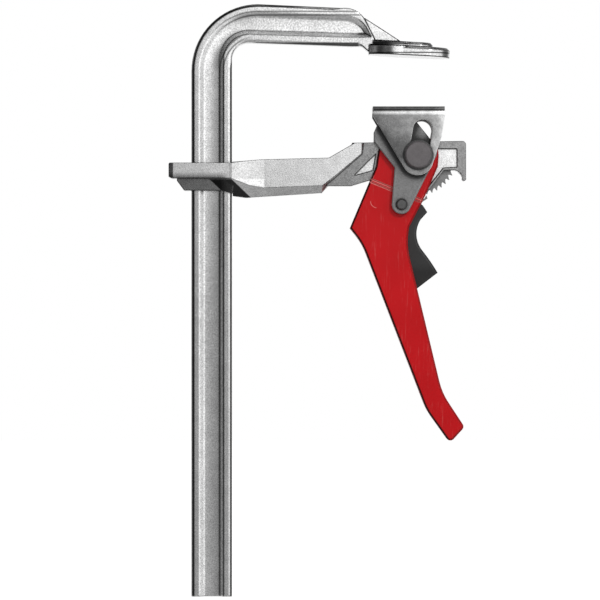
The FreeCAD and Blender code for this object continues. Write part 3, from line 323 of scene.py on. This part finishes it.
# %% Lamps
# Each lamp has its name, its place, the diameter of its disc in metres and its power in watts
LAMPS = (
    ("near lamp", (0.06, -0.60, 0.08), 0.36, 0.24),
    ("key lamp", (0.50, -1.10, 0.62), 0.16, 6.0),
)
LAMP_AIM = Vector((0.0, 0.0, -0.05))


def make_lamp(name, place, size, power):
    data = bpy.data.lights.new(name, "AREA")
    data.shape = "DISK"
    data.size = size
    data.energy = power
    lamp = bpy.data.objects.new(name, data)
    lamp.location = place
    lamp.rotation_euler = (LAMP_AIM - Vector(place)).to_track_quat("-Z", "Y").to_euler()
    bpy.context.scene.collection.objects.link(lamp)
    return lamp


lamps = [make_lamp(*lamp) for lamp in LAMPS]
print("lamps:", [lamp.name for lamp in lamps])

# %% [markdown]
# What several finishes need is a node group, made once. The first is a grain: two sizes of noise,
# the fine one given as a speckle and as a height for the bump, the broad one as a mottle.

# %% Node group: plated grain
FLOAT, VECTOR = "NodeSocketFloat", "NodeSocketVector"
# Each noise has its detail and its roughness, and the part of its range that is used
FINE_NOISE, FINE_RANGE = (2.0, 0.6), (0.32, 0.68)
BROAD_NOISE, BROAD_RANGE = (4.0, 0.55), (0.34, 0.66)


def new_group(name, inputs, outputs):
    group = bpy.data.node_groups.new(name, "ShaderNodeTree")
    for label, value in inputs.items():
        kind = VECTOR if value is None else FLOAT
        socket = group.interface.new_socket(label, in_out="INPUT", socket_type=kind)
        if value is not None:
            socket.default_value = value
    for label, kind in outputs.items():
        group.interface.new_socket(label, in_out="OUTPUT", socket_type=kind)
    start = group.nodes.new("NodeGroupInput")
    end = group.nodes.new("NodeGroupOutput")
    return group, start.outputs, end.inputs


def noise(tree, place, size_mm, detail, roughness):
    scale = maths(tree, "DIVIDE", 1.0 / MM, size_mm)
    sockets = {"Vector": place, "Scale": scale, "Detail": detail, "Roughness": roughness}
    return add(tree, "ShaderNodeTexNoise", sockets).outputs["Fac"]


def make_grain_group():
    inputs = {"Place": None, "Grain mm": 0.6, "Mottle mm": 6.0}
    outputs = {"Speckle": FLOAT, "Mottle": FLOAT, "Height": FLOAT}
    group, given, result = new_group("plated grain", inputs, outputs)
    fine = noise(group, given["Place"], given["Grain mm"], *FINE_NOISE)
    broad = noise(group, given["Place"], given["Mottle mm"], *BROAD_NOISE)
    group.links.new(remap(group, fine, *FINE_RANGE), result["Speckle"])
    group.links.new(remap(group, broad, *BROAD_RANGE), result["Mottle"])
    group.links.new(fine, result["Height"])
    return group


grain_group = make_grain_group()
print("made group:", grain_group.name)

# %% [markdown]
# No forged, stamped or moulded edge is razor sharp. The second group bends the normal over each edge,
# as a small radius does, and says where the edges are, so that a finish can paint them lighter, as
# highlights, or darker, as shade.

# %% Node group: soft edges
EDGE_SAMPLES = 8


def make_edge_group():
    inputs = {"Radius mm": 0.4, "Starts": 0.996, "Full": 0.92}
    group, given, result = new_group("soft edges", inputs, {"Normal": VECTOR, "Edge": FLOAT})
    radius = times(group, given["Radius mm"], MM)
    bevel = add(group, "ShaderNodeBevel", {"Radius": radius}, samples=EDGE_SAMPLES)
    bent = bevel.outputs["Normal"]
    flat = add(group, "ShaderNodeNewGeometry").outputs["True Normal"]
    agree = vectors(group, "DOT_PRODUCT", bent, flat)
    group.links.new(bent, result["Normal"])
    group.links.new(remap(group, agree, given["Starts"], given["Full"]), result["Edge"])
    return group


edge_group = make_edge_group()
print("made group:", edge_group.name)

# %% [markdown]
# The third group measures how closed in a point is, so that a finish can paint shade into hollows,
# where two faces meet.

# %% Node group: painted shade in hollows
HOLLOW_SAMPLES = 8


def make_hollow_shade_group():
    inputs = {"Reach mm": 1.5, "Starts": 0.85, "Full": 0.35}
    group, given, result = new_group("painted shade in hollows", inputs, {"Hollow": FLOAT})
    reach = times(group, given["Reach mm"], MM)
    sky = add(group, "ShaderNodeAmbientOcclusion", {"Distance": reach}, samples=HOLLOW_SAMPLES)
    hollow = remap(group, sky.outputs["AO"], given["Starts"], given["Full"])
    group.links.new(hollow, result["Hollow"])
    return group


hollow_shade_group = make_hollow_shade_group()
print("made group:", hollow_shade_group.name)

# %% [markdown]
# The coated lever has faint long streaks, painted highlights. The last group makes them from noise
# that is drawn out along one direction and cut off at a level, so that only its crests show.

# %% Node group: drawn lines
LINE_NOISE, LINE_FADE = (3.0, 0.6), 0.2


def make_lines_group():
    inputs = {"Place": None, "Stretch": None, "Width mm": 0.4, "Cut": 0.5}
    group, given, result = new_group("drawn lines", inputs, {"Lines": FLOAT})
    drawn = vectors(group, "MULTIPLY", given["Place"], given["Stretch"])
    streaks = noise(group, drawn, given["Width mm"], *LINE_NOISE)
    top = maths(group, "ADD", given["Cut"], LINE_FADE)
    group.links.new(remap(group, streaks, given["Cut"], top), result["Lines"])
    return group


lines_group = make_lines_group()
print("made group:", lines_group.name)

# %% [markdown]
# A material starts with a Principled shader and the object's own coordinates, which are in metres
# and travel with the piece when a joint moves. Its bump comes last, over the bent normal.

# %% Helpers for materials
SHADER_SOCKETS = {
    "metallic": "Metallic",
    "specular_ior_level": "Specular IOR Level",
    "coat_weight": "Coat Weight",
    "coat_roughness": "Coat Roughness",
}
# A face is level where its normal points up or down by more than the first of these shares, and
# upright where it does so by less than the second
LEVEL_FACE, UPRIGHT_FACE = 0.7, 0.4


def use(tree, group, inputs):
    return add(tree, "ShaderNodeGroup", inputs, node_tree=group).outputs


def start_material(name, **shader_values):
    material = bpy.data.materials.new(name)
    material.use_nodes = True
    tree = material.node_tree
    shader = tree.nodes["Principled BSDF"]
    for socket, value in shader_values.items():
        shader.inputs[SHADER_SOCKETS[socket]].default_value = value
    place = add(tree, "ShaderNodeTexCoord").outputs["Object"]
    return material, tree, shader, place


def add_relief(tree, shader, height, normal, depth_mm):
    sockets = {"Height": height, "Normal": normal, "Distance": depth_mm * MM, "Strength": 1.0}
    bump = add(tree, "ShaderNodeBump", sockets)
    tree.links.new(bump.outputs["Normal"], shader.inputs["Normal"])


def upright_faces(tree):
    facing = split(tree, add(tree, "ShaderNodeTexCoord").outputs["Normal"])
    return remap(tree, maths(tree, "ABSOLUTE", facing["Z"]), LEVEL_FACE, UPRIGHT_FACE)


print("material helpers are ready")

# %% [markdown]
# All the bare steel here is one recipe with its own numbers. The base tone has a speckle and a
# mottle. The edges have the tone times edge, by the part that share gives, and full says how sharp an
# edge has to be for all of it: where edge is above one this paints a highlight on the edges, and
# where it is below one a dark line of shade. Hollows get painted shade, from where the point is as
# open as open_at to where it is as closed as closed. Three options are functions: zones gives a share
# of the tone by place, the edge function says how much of the painted edge shows there, and lean
# turns the normal a little.

# %% Bare steel
MOTTLE_PER_GRAIN = 9.0
BRIGHTEST, HOLLOW_SHADE_TONE = 0.95, 0.10
# A speckle's dark grains are a little rougher, and its light ones a little smoother
ROUGHER, SMOOTHER = 0.05, 0.04


def make_steel(name, tone, tint=(1.0, 1.0, 1.0), metallic=1.0, roughness=0.3, grain=0.5,
               speckle=0.12, mottle=0.12, depth=0.01, radius=0.4, edge=1.2, full=0.92, hollow_shade=0.5,
               reach=2.0, open_at=0.85, closed=0.35, share=0.7, zones=None, edge_paint=None, lean=None):
    material, tree, shader, place = start_material(name, metallic=metallic)
    sizes_mm = {"Place": place, "Grain mm": grain, "Mottle mm": grain * MOTTLE_PER_GRAIN}
    grains = use(tree, grain_group, sizes_mm)
    edges = use(tree, edge_group, {"Radius mm": radius, "Full": full})
    hollows = use(tree, hollow_shade_group, {"Reach mm": reach, "Starts": open_at, "Full": closed})
    dark, light = grey(tone * (1.0 - speckle), tint), grey(tone * (1.0 + speckle), tint)
    body = mix(tree, grains["Speckle"], dark, light)
    mottled = remap(tree, grains["Mottle"], 0.0, 1.0, 1.0 - mottle, 1.0 + mottle / 2)
    body = scaled(tree, body, mottled)
    if zones:
        body = scaled(tree, body, zones(tree, place))
    # Painted highlights or painted shade lines on the edges
    painted_edges = times(tree, edges["Edge"], edge_paint(tree, place) if edge_paint else share)
    body = mix(tree, painted_edges, body, grey(min(tone * edge, BRIGHTEST), tint))
    # Painted shade in hollows
    shaded_hollows = times(tree, hollows["Hollow"], hollow_shade)
    body = mix(tree, shaded_hollows, body, grey(tone * HOLLOW_SHADE_TONE, tint))
    tree.links.new(body, shader.inputs["Base Color"])
    dull = remap(tree, grains["Speckle"], 0.0, 1.0, roughness + ROUGHER, roughness - SMOOTHER)
    tree.links.new(dull, shader.inputs["Roughness"])
    normal = lean(tree, place, edges["Normal"]) if lean else edges["Normal"]
    add_relief(tree, shader, grains["Height"], normal, depth)
    return material


# The cams' hollows get a deep painted shadow of the pressure plate, and the cams' and rack's edges
# get painted highlights. The pins' and rivets' rims get dark lines of painted shade.
cam_steel = make_steel("cam steel", 0.22, metallic=0.3, roughness=0.55, grain=0.3, speckle=0.28,
                       depth=0.012, radius=0.3, edge=3.2, hollow_shade=1.0, reach=4.5, open_at=0.92,
                       closed=0.77)
rack_steel = make_steel("rack steel", 0.20, roughness=0.42, grain=0.35, radius=0.15, edge=2.4)
pin_steel = make_steel("pin steel", 0.13, tint=(1.08, 1.0, 1.03), metallic=0.5, roughness=0.55,
                       grain=0.3, speckle=0.08, depth=0.004, radius=0.7, edge=0.15)
rivet_steel = make_steel("rivet steel", 0.10, metallic=0.8, roughness=0.45, grain=0.3, radius=0.4,
                         edge=0.2)
spring_wire = make_steel("spring wire", 0.5, roughness=0.22, grain=0.3, depth=0.002, radius=0.05)
steels = (cam_steel, rack_steel, pin_steel, rivet_steel, spring_wire)
print("steels made:", [steel.name for steel in steels])

# %% [markdown]
# The rail is rolled, so its web is slightly hollow: the side by the outer flange leans inward and
# mirrors the bright right, and the other side darkens. The rail turns a corner, and one distance
# serves it all: how far a point lies from the corner inside the bend.

# %% Rail steel
BEND_X, BEND_Z = -0.0682, -0.0066
WEB_MIDDLE, WEB_HALF, WEB_SOFT = 0.0209, 0.0034, 0.3 * MM
WEB_LEAN, BEND_LEAN = 0.05, 0.20
# The product of the two parts of the outward direction, half way round the bend
MIDDLE_OF_BEND = 0.5
# Painted shade: the rolled corners of the flanges get dark lines, and so do the edges of the forged
# jaw
OUTER_LOW, OUTER_HIGH, OUTER_SHADE_TONE, OUTER_REST_SHADE = 0.02865, 0.02945, 0.13, 0.45
INNER_EDGE, INNER_SHADE_TONE, CORNER_DEPTH = 0.01275, 0.16, 0.0028
LINE_SOFT, CORNER_SOFT = 0.12 * MM, 0.1 * MM
# Painted shade lies as dark lines in the fillets of the slopes, inside along the upright rail and
# outside along its arm
INNER_FILLETS, OUTER_FILLETS = (0.0172, 0.0156), (0.0267, 0.0251)
FILLET_HALF, FILLET_SOFT, FILLET_SHADE_TONE = 0.00032, 0.2 * MM, 0.30
# How far the outward direction has turned where a slope's fillets begin, and where they are full
INNER_TURN, OUTER_TURN = (0.1, 0.6), (0.5, 0.95)
# Left of this place the steel is rolled, and right of it forged
JAW_START = -0.0225
# The side of the boss on the jaw and a seam low on the pad's side get painted shade too
BOSS_FOOT, BOSS_TOP, BOSS_START, BOSS_SOFT, BOSS_SHADE_TONE = 0.0051, 0.0066, -0.0170, 0.5 * MM, 0.12
SEAM_LOW, SEAM_HIGH, SEAM_SOFT = 0.0010, 0.0016, 0.15 * MM


def rail_across(tree, place):
    part = split(tree, place)
    out_x = maths(tree, "MINIMUM", maths(tree, "SUBTRACT", part["X"], BEND_X), 0.0)
    out_z = maths(tree, "MAXIMUM", maths(tree, "SUBTRACT", part["Z"], BEND_Z), 0.0)
    outward = add(tree, "ShaderNodeCombineXYZ", {"X": out_x, "Y": 0.0, "Z": out_z}).outputs[0]
    return vectors(tree, "LENGTH", outward), vectors(tree, "NORMALIZE", outward)


def lean_web(tree, place, normal):
    across, straight = rail_across(tree, place)
    share = maths(tree, "DIVIDE", maths(tree, "SUBTRACT", across, WEB_MIDDLE), -WEB_HALF)
    inside = band(tree, across, WEB_MIDDLE - WEB_HALF, WEB_MIDDLE + WEB_HALF, WEB_SOFT)
    around = split(tree, straight)
    corner = maths(tree, "ABSOLUTE", times(tree, around["X"], around["Z"]))
    amount = remap(tree, corner, 0.0, MIDDLE_OF_BEND, WEB_LEAN, BEND_LEAN)
    turn = times(tree, share, inside, amount)
    leaning = vectors(tree, "ADD", normal, scaled(tree, straight, turn))
    return vectors(tree, "NORMALIZE", leaning)


def jaw_share(tree, place):
    return remap(tree, split(tree, place)["X"], JAW_START - MM, JAW_START)


def jaw_zones(tree, place):
    part = split(tree, place)
    upright = upright_faces(tree)
    right = remap(tree, part["X"], BOSS_START, BOSS_START + BOSS_SOFT)
    boss = times(tree, band(tree, part["Z"], BOSS_FOOT, BOSS_TOP), upright, right)
    seam = band(tree, part["Z"], SEAM_LOW, SEAM_HIGH, SEAM_SOFT)
    seam = times(tree, seam, upright, jaw_share(tree, place))
    return toned(tree, 1.0, maths(tree, "MAXIMUM", boss, seam), BOSS_SHADE_TONE)


def fillet_shade_lines(tree, across, straight):
    heading = split(tree, straight)
    upright = remap(tree, maths(tree, "ABSOLUTE", heading["X"]), *INNER_TURN)
    level = remap(tree, maths(tree, "ABSOLUTE", heading["Z"]), *OUTER_TURN)
    lines = 0.0
    for fillets, share in ((INNER_FILLETS, upright), (OUTER_FILLETS, level)):
        for at in fillets:
            line = band(tree, across, at - FILLET_HALF, at + FILLET_HALF, FILLET_SOFT)
            lines = maths(tree, "MAXIMUM", times(tree, line, share), lines)
    return lines


def rail_zones(tree, place):
    across, straight = rail_across(tree, place)
    depth = maths(tree, "ABSOLUTE", split(tree, place)["Y"])
    rolled = maths(tree, "SUBTRACT", 1.0, jaw_share(tree, place))
    front = remap(tree, depth, CORNER_DEPTH - CORNER_SOFT, CORNER_DEPTH + CORNER_SOFT)
    corner = times(tree, front, rolled)
    line = band(tree, across, OUTER_LOW, OUTER_HIGH, LINE_SOFT)
    rest = remap(tree, across, OUTER_HIGH, OUTER_HIGH + CORNER_SOFT)
    inner = remap(tree, across, INNER_EDGE + CORNER_SOFT, INNER_EDGE - CORNER_SOFT)
    level = toned(tree, 1.0, times(tree, line, corner), OUTER_SHADE_TONE)
    level = toned(tree, level, times(tree, rest, corner), OUTER_REST_SHADE)
    level = toned(tree, level, times(tree, inner, corner), INNER_SHADE_TONE)
    level = toned(tree, level, fillet_shade_lines(tree, across, straight), FILLET_SHADE_TONE)
    return times(tree, level, jaw_zones(tree, place))


# The jaw's edges get dark lines of painted shade and the rail's don't, so the jaw's mask also says
# where the painted edges show; the hollows get a little painted shade
rail_steel = make_steel("rail steel", 0.68, roughness=0.20, grain=0.60, speckle=0.30, mottle=0.10,
                        depth=0.006, radius=1.1, edge=0.06, full=0.975, hollow_shade=0.3,
                        zones=rail_zones, edge_paint=jaw_share, lean=lean_web)
print("made:", rail_steel.name)

# %% [markdown]
# The arm is a forging in three finishes: tumbled on its body, rough on the rim of its head, and
# ground bright in the two pockets there. The distance from the middle plane tells them apart.

# %% Forged steel
POCKET_DEPTH, RIM_DEPTH, HEAD_START = 0.0039, 0.0052, -0.0379
POCKET_TONE, RIM_TONE = 1.12, 0.40
# Painted shade: the collar darkens towards its ledge, the ledge and the tip are dark, and a dark
# facet slants from the ledge down under the arm
LEDGE_TOP, LEDGE_END, LEDGE_SHADE_TONE = -0.0549, -0.0830, 0.24
SHADE_START, SHADE_TONE = -0.0520, 0.21
END_SOFT, LEDGE_SOFT, ZONE_SOFT, FACET_SOFT = 2.0 * MM, 0.6 * MM, 0.2 * MM, 0.25 * MM
# The bevel from the collar to the body faces the bright side, and painted shade tones it down
BEVEL_LEFT, BEVEL_RIGHT, BEVEL_SHADE_TONE = -0.0812, -0.0655, 0.76
TIP_END, TIP_SHADE_TONE = -0.1063, 0.12
FACET_LEFT, FACET_RIGHT, FACET_SLOPE, FACET_SHADE_TONE = -0.0905, -0.0805, 1.05, 0.05


def arm_zones(tree, place):
    part = split(tree, place)
    depth = maths(tree, "ABSOLUTE", part["Y"])
    head = remap(tree, part["X"], HEAD_START - ZONE_SOFT, HEAD_START)
    rim = times(tree, band(tree, depth, POCKET_DEPTH, RIM_DEPTH), head)
    pocket = times(tree, band(tree, depth, -MM, POCKET_DEPTH), head)
    level = toned(tree, 1.0, rim, RIM_TONE)
    level = toned(tree, level, pocket, POCKET_TONE)
    collar = remap(tree, part["X"], LEDGE_END + END_SOFT, LEDGE_END - END_SOFT)
    shade = times(tree, remap(tree, part["Z"], SHADE_START, LEDGE_TOP + ZONE_SOFT), collar)
    level = toned(tree, level, shade, SHADE_TONE)
    below = remap(tree, part["Z"], LEDGE_TOP, LEDGE_TOP - LEDGE_SOFT)
    level = toned(tree, level, times(tree, below, collar), LEDGE_SHADE_TONE / SHADE_TONE)
    above = remap(tree, below, 1.0, 0.0)
    bevel = times(tree, band(tree, part["X"], BEVEL_LEFT, BEVEL_RIGHT), above)
    level = toned(tree, level, bevel, BEVEL_SHADE_TONE)
    drop = maths(tree, "SUBTRACT", LEDGE_TOP, part["Z"])
    slanted = maths(tree, "SUBTRACT", part["X"], times(tree, drop, FACET_SLOPE))
    facet = times(tree, band(tree, slanted, FACET_LEFT, FACET_RIGHT, FACET_SOFT), below)
    level = toned(tree, level, facet, FACET_SHADE_TONE)
    tip = remap(tree, part["X"], TIP_END + ZONE_SOFT, TIP_END - ZONE_SOFT)
    return toned(tree, level, tip, TIP_SHADE_TONE)


# Its edges get dark lines of painted shade, and its hollows painted shade
forged_steel = make_steel("forged steel", 0.68, roughness=0.28, grain=0.60, speckle=0.22,
                          mottle=0.12, depth=0.014, radius=0.6, edge=0.10, full=0.96, share=1.0,
                          zones=arm_zones)
print("made:", forged_steel.name)

# %% [markdown]
# The pressure plate is folded from sheet steel. Its cut edge, the strip along the top, is painted
# nearly black as shade, the fold under it gets a painted highlight, and its cheeks are stained in
# soft patches. Its edges get painted highlights and its hollows painted shade.

# %% Plate steel
PLATE_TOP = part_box("pressure_plate")[1].z
# Both are measured down from the top of the plate; the cut edge gets painted shade and the fold a
# painted highlight
CUT_EDGE, CUT_SHADE_TONE = 0.00195, 0.30
FOLD_EDGE, FOLD_SOFT, FOLD_HIGHLIGHT_TONE = 0.0037, 0.25 * MM, 2.1
# The stains have their size in millimetres, the noise's detail and roughness, and their range
STAIN_NOISE, STAIN_RANGE = (5.0, 3.0, 0.6), (0.38, 0.64, 0.78, 1.15)
# Towards its lower left the cheek is darker, and under the height DARKER_END that fades out
DARKER_RANGE = (-0.0335, -0.0470, 1.15, 0.40)
DARKER_END, DARKER_FADE = -0.0450, 4.0 * MM
# Towards its right end it gets a painted highlight
RIGHT_HIGHLIGHT_RANGE = (0.0080, 0.0145, 1.0, 1.9)


def plate_zones(tree, place):
    part = split(tree, place)
    below = maths(tree, "SUBTRACT", PLATE_TOP, part["Z"])
    cut = times(tree, band(tree, below, -MM, CUT_EDGE), upright_faces(tree))
    fold = band(tree, below, CUT_EDGE, FOLD_EDGE, FOLD_SOFT)
    stain = remap(tree, noise(tree, place, *STAIN_NOISE), *STAIN_RANGE)
    level = toned(tree, stain, cut, CUT_SHADE_TONE)
    level = times(tree, level, remap(tree, part["X"], *RIGHT_HIGHLIGHT_RANGE))
    darker = remap(tree, maths(tree, "ADD", part["X"], part["Z"]), *DARKER_RANGE)
    upper = remap(tree, part["Z"], DARKER_END - DARKER_FADE, DARKER_END)
    level = times(tree, level, mix(tree, upper, grey(1.0), darker))
    return toned(tree, level, fold, FOLD_HIGHLIGHT_TONE)


plate_steel = make_steel("plate steel", 0.25, roughness=0.30, grain=0.35, speckle=0.20, mottle=0.12,
                         depth=0.014, radius=0.4, edge=3.0, hollow_shade=0.7, zones=plate_zones)
print("made:", plate_steel.name)

# %% [markdown]
# The lever is coated with half gloss red powder: even in colour and slightly wavy. Its edges and the
# chamfer at its rear get painted shade, dark red. The pressed creases and a small ding get a painted
# highlight line, and faint long streaks are painted highlights too.

# %% Red coating
RED, DEEP_RED = (0.59, 0.006, 0.010, 1.0), (0.53, 0.005, 0.008, 1.0)
EDGE_SHADE_RED = (0.040, 0.003, 0.003, 1.0)
HIGHLIGHT_RED = (0.85, 0.28, 0.26, 1.0)
# The creases' painted highlight lies along one line across both sides of the lever
CREASE_AT, CREASE_ACROSS, CREASE_HALF = (-0.0170, 0.0, -0.0555), (0.364, 0.0, 0.932), 0.0019
# A painted highlight on a shallow ding from pressing, a quarter of a ring
DING_AT, DING_RADIUS, DING_HALF = (-0.0148, 0.0, -0.0652), 0.0030, 0.00012
# The ring fades out towards its right and its upper side
DING_LEFT, DING_LOW = (0.0, -0.8 * MM), (0.3 * MM, -0.5 * MM)
CREASE_SOFT, DING_SOFT, HIGHLIGHT_SHARE = 0.2 * MM, 0.08 * MM, 0.85
# Painted shade: the edges and chamfers are darker at the rear of the lever than on the finger side
REAR_FACING = (-0.25, -0.55)
REAR_SHARE, OTHER_SHARE = 1.0, 0.45
# A chamfer is a face whose normal lies between the side's and the back's
CHAMFER_LOW, CHAMFER_HIGH, CHAMFER_SOFT = 0.45, 0.92, 0.05
COAT_GRAIN, COAT_EDGE = {"Grain mm": 1.6, "Mottle mm": 22.0}, {"Radius mm": 0.6, "Full": 0.90}
# The faint long streaks are painted highlights
HIGHLIGHT_STREAKS = {"Stretch": (1.0, 1.0, 0.06), "Width mm": 0.5, "Cut": 0.60}
STREAK_HIGHLIGHT_SHARE = 0.25
COAT_SMOOTH, COAT_ROUGH, COAT_DEPTH_MM = 0.30, 0.36, 0.008


def crease_mask(tree, place):
    off = vectors(tree, "SUBTRACT", place, CREASE_AT)
    across = vectors(tree, "DOT_PRODUCT", off, CREASE_ACROSS)
    return band(tree, across, -CREASE_HALF, CREASE_HALF, CREASE_SOFT)


def ding_mask(tree, place):
    off = split(tree, vectors(tree, "SUBTRACT", place, DING_AT))
    flat = add(tree, "ShaderNodeCombineXYZ", {"X": off["X"], "Y": 0.0, "Z": off["Z"]}).outputs[0]
    away = vectors(tree, "LENGTH", flat)
    ring = band(tree, away, DING_RADIUS - DING_HALF, DING_RADIUS + DING_HALF, DING_SOFT)
    left = remap(tree, off["X"], *DING_LEFT)
    low = remap(tree, off["Z"], *DING_LOW)
    front = remap(tree, split(tree, place)["Y"], 0.0, -MM)
    return times(tree, ring, left, low, front)


def make_red_coating():
    material, tree, shader, place = start_material(
        "red coating", metallic=0.0, specular_ior_level=0.12, coat_weight=0.05, coat_roughness=0.10)
    grains = use(tree, grain_group, {"Place": place, **COAT_GRAIN})
    edges = use(tree, edge_group, COAT_EDGE)
    streaks = use(tree, lines_group, {"Place": place, **HIGHLIGHT_STREAKS})
    facing = split(tree, add(tree, "ShaderNodeTexCoord").outputs["Normal"])
    rear = remap(tree, facing["X"], *REAR_FACING, OTHER_SHARE, REAR_SHARE)
    sideways = maths(tree, "ABSOLUTE", facing["Y"])
    chamfer = band(tree, sideways, CHAMFER_LOW, CHAMFER_HIGH, CHAMFER_SOFT)
    body = mix(tree, grains["Mottle"], RED, DEEP_RED)
    body = mix(tree, times(tree, streaks["Lines"], STREAK_HIGHLIGHT_SHARE), body, HIGHLIGHT_RED)
    edge_shade = times(tree, maths(tree, "MAXIMUM", edges["Edge"], chamfer), rear)
    body = mix(tree, edge_shade, body, EDGE_SHADE_RED)
    highlights = times(tree, edges["Edge"], crease_mask(tree, place))
    highlights = maths(tree, "MAXIMUM", highlights, ding_mask(tree, place))
    body = mix(tree, times(tree, highlights, HIGHLIGHT_SHARE), body, HIGHLIGHT_RED)
    tree.links.new(body, shader.inputs["Base Color"])
    dull = remap(tree, grains["Speckle"], 0.0, 1.0, COAT_SMOOTH, COAT_ROUGH)
    tree.links.new(dull, shader.inputs["Roughness"])
    add_relief(tree, shader, grains["Height"], edges["Normal"], COAT_DEPTH_MM)
    return material


red_coating = make_red_coating()
print("made:", red_coating.name)

# %% [markdown]
# The trigger is moulded in black plastic with a fine spark-eroded texture, a little shiny at the
# edges where fingers rub it. Those edges are also painted lighter, partly wear and partly a painted
# highlight.

# %% Black plastic
# Towards its foot the trigger is darker
FOOT_RANGE = (-0.0930, -0.0970, 1.0, 0.40)
BLACK, DUSTY_BLACK, EDGE_WEAR_AND_HIGHLIGHT_BLACK, EDGE_WEAR_AND_HIGHLIGHT_SHARE = 0.024, 0.034, 0.085, 0.6
MATT, SHINY, SPARK_DEPTH_MM = 0.60, 0.42, 0.01
SPARK_GRAIN, SPARK_EDGE = {"Grain mm": 0.25, "Mottle mm": 9.0}, {"Radius mm": 0.6}


def make_black_plastic():
    material, tree, shader, place = start_material(
        "black plastic", metallic=0.0, specular_ior_level=0.35)
    grains = use(tree, grain_group, {"Place": place, **SPARK_GRAIN})
    edges = use(tree, edge_group, SPARK_EDGE)
    body = mix(tree, grains["Mottle"], grey(BLACK), grey(DUSTY_BLACK))
    body = mix(tree, times(tree, edges["Edge"], EDGE_WEAR_AND_HIGHLIGHT_SHARE), body, grey(EDGE_WEAR_AND_HIGHLIGHT_BLACK))
    foot = remap(tree, split(tree, place)["Z"], *FOOT_RANGE)
    tree.links.new(scaled(tree, body, foot), shader.inputs["Base Color"])
    dull = remap(tree, edges["Edge"], 0.0, 1.0, MATT, SHINY)
    tree.links.new(dull, shader.inputs["Roughness"])
    add_relief(tree, shader, grains["Height"], edges["Normal"], SPARK_DEPTH_MM)
    return material


black_plastic = make_black_plastic()
print("made:", black_plastic.name)

# %% [markdown]
# The trigger's return spring sits between the lever's back and the trigger, with both ends on their
# seats. The imported model's spring is coarse and stiff, so this coil stands for it: a helix of round
# wire, swept ring by ring, from the lever to the trigger.

# %% Trigger spring
SPRING_SEAT, SPRING_END = Vector((-0.01549, 0.0, -0.09147)), Vector((-0.00765, 0.0, -0.08929))
SPRING_RADIUS, WIRE_RADIUS, SPRING_TURNS = 0.0022, 0.0004, 3.5
RING_STEPS, RING_SIDES = 28, 12
# The first and last turn are pressed flat, so that they lie on their seats
FLAT_TURN = 0.75
# The wire's direction is taken between two points this share of a turn before and behind
STEP_ASIDE = 0.01


def coil_point(turn):
    along = (SPRING_END - SPRING_SEAT).normalized()
    side = Vector((0.0, 1.0, 0.0))
    up = along.cross(side)
    climbing = SPRING_TURNS - FLAT_TURN
    rising = min(max(turn - FLAT_TURN / 2, 0.0), climbing) / climbing
    middle = SPRING_SEAT.lerp(SPRING_END, rising)
    angle = 2.0 * math.pi * turn
    return middle + (side * math.cos(angle) + up * math.sin(angle)) * SPRING_RADIUS, along


def make_spring_coil():
    count = int(SPRING_TURNS * RING_STEPS) + 1
    corners, faces = [], []
    for index in range(count):
        turn = index / RING_STEPS
        here, along = coil_point(turn)
        heading = coil_point(turn + STEP_ASIDE)[0] - coil_point(turn - STEP_ASIDE)[0]
        heading.normalize()
        across = heading.cross(along).normalized()
        upright = across.cross(heading)
        for side in range(RING_SIDES):
            angle = 2.0 * math.pi * side / RING_SIDES
            aside = across * math.cos(angle) + upright * math.sin(angle)
            corners.append(here + aside * WIRE_RADIUS)
    for index in range(count - 1):
        for side in range(RING_SIDES):
            onward = (side + 1) % RING_SIDES
            first, second = index * RING_SIDES, (index + 1) * RING_SIDES
            faces.append((first + side, first + onward, second + onward, second + side))
    faces.append(tuple(reversed(range(RING_SIDES))))
    faces.append(tuple(range((count - 1) * RING_SIDES, count * RING_SIDES)))
    mesh = bpy.data.meshes.new("spring_coil")
    mesh.from_pydata(corners, [], faces)
    mesh.shade_smooth()
    mesh.materials.append(spring_wire)
    coil = bpy.data.objects.new("spring_coil", mesh)
    bpy.context.scene.collection.objects.link(coil)
    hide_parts("trigger_spring")
    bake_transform(coil)
    return coil


spring_coil = make_spring_coil()
print("made:", spring_coil.name, "with", len(spring_coil.data.polygons), "faces")

# %% [markdown]
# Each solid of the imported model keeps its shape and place, and takes the finish of the real piece.
# The solid spring has one too, although the coil stands for it.

# %% Give each piece its finish
FINISHES = {
    "rail": rail_steel,
    "sliding_arm": forged_steel,
    "ratchet_rack": rack_steel,
    "rack_rivets": rivet_steel,
    "pivot_pin": pin_steel,
    "rear_pin_collar": pin_steel,
    "front_washer": rivet_steel,
    "rear_washer": rivet_steel,
    "pressure_plate": plate_steel,
    "cam_plate_front": cam_steel,
    "cam_plate_rear": cam_steel,
    "lever_handle": red_coating,
    "trigger_rivet": rivet_steel,
    "trigger_sleeve": rivet_steel,
    "release_trigger": black_plastic,
    "pawl": rack_steel,
    "pawl_pin": rivet_steel,
    "trigger_spring": spring_wire,
}
for name, finish in FINISHES.items():
    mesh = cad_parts[name].data
    mesh.materials.clear()
    mesh.materials.append(finish)
print("pieces with a finish:", len(FINISHES))

# %% [markdown]
# The colours are shown as they are written, with no film curve.

# %% Finish
bpy.context.scene.view_settings.view_transform = "Standard"
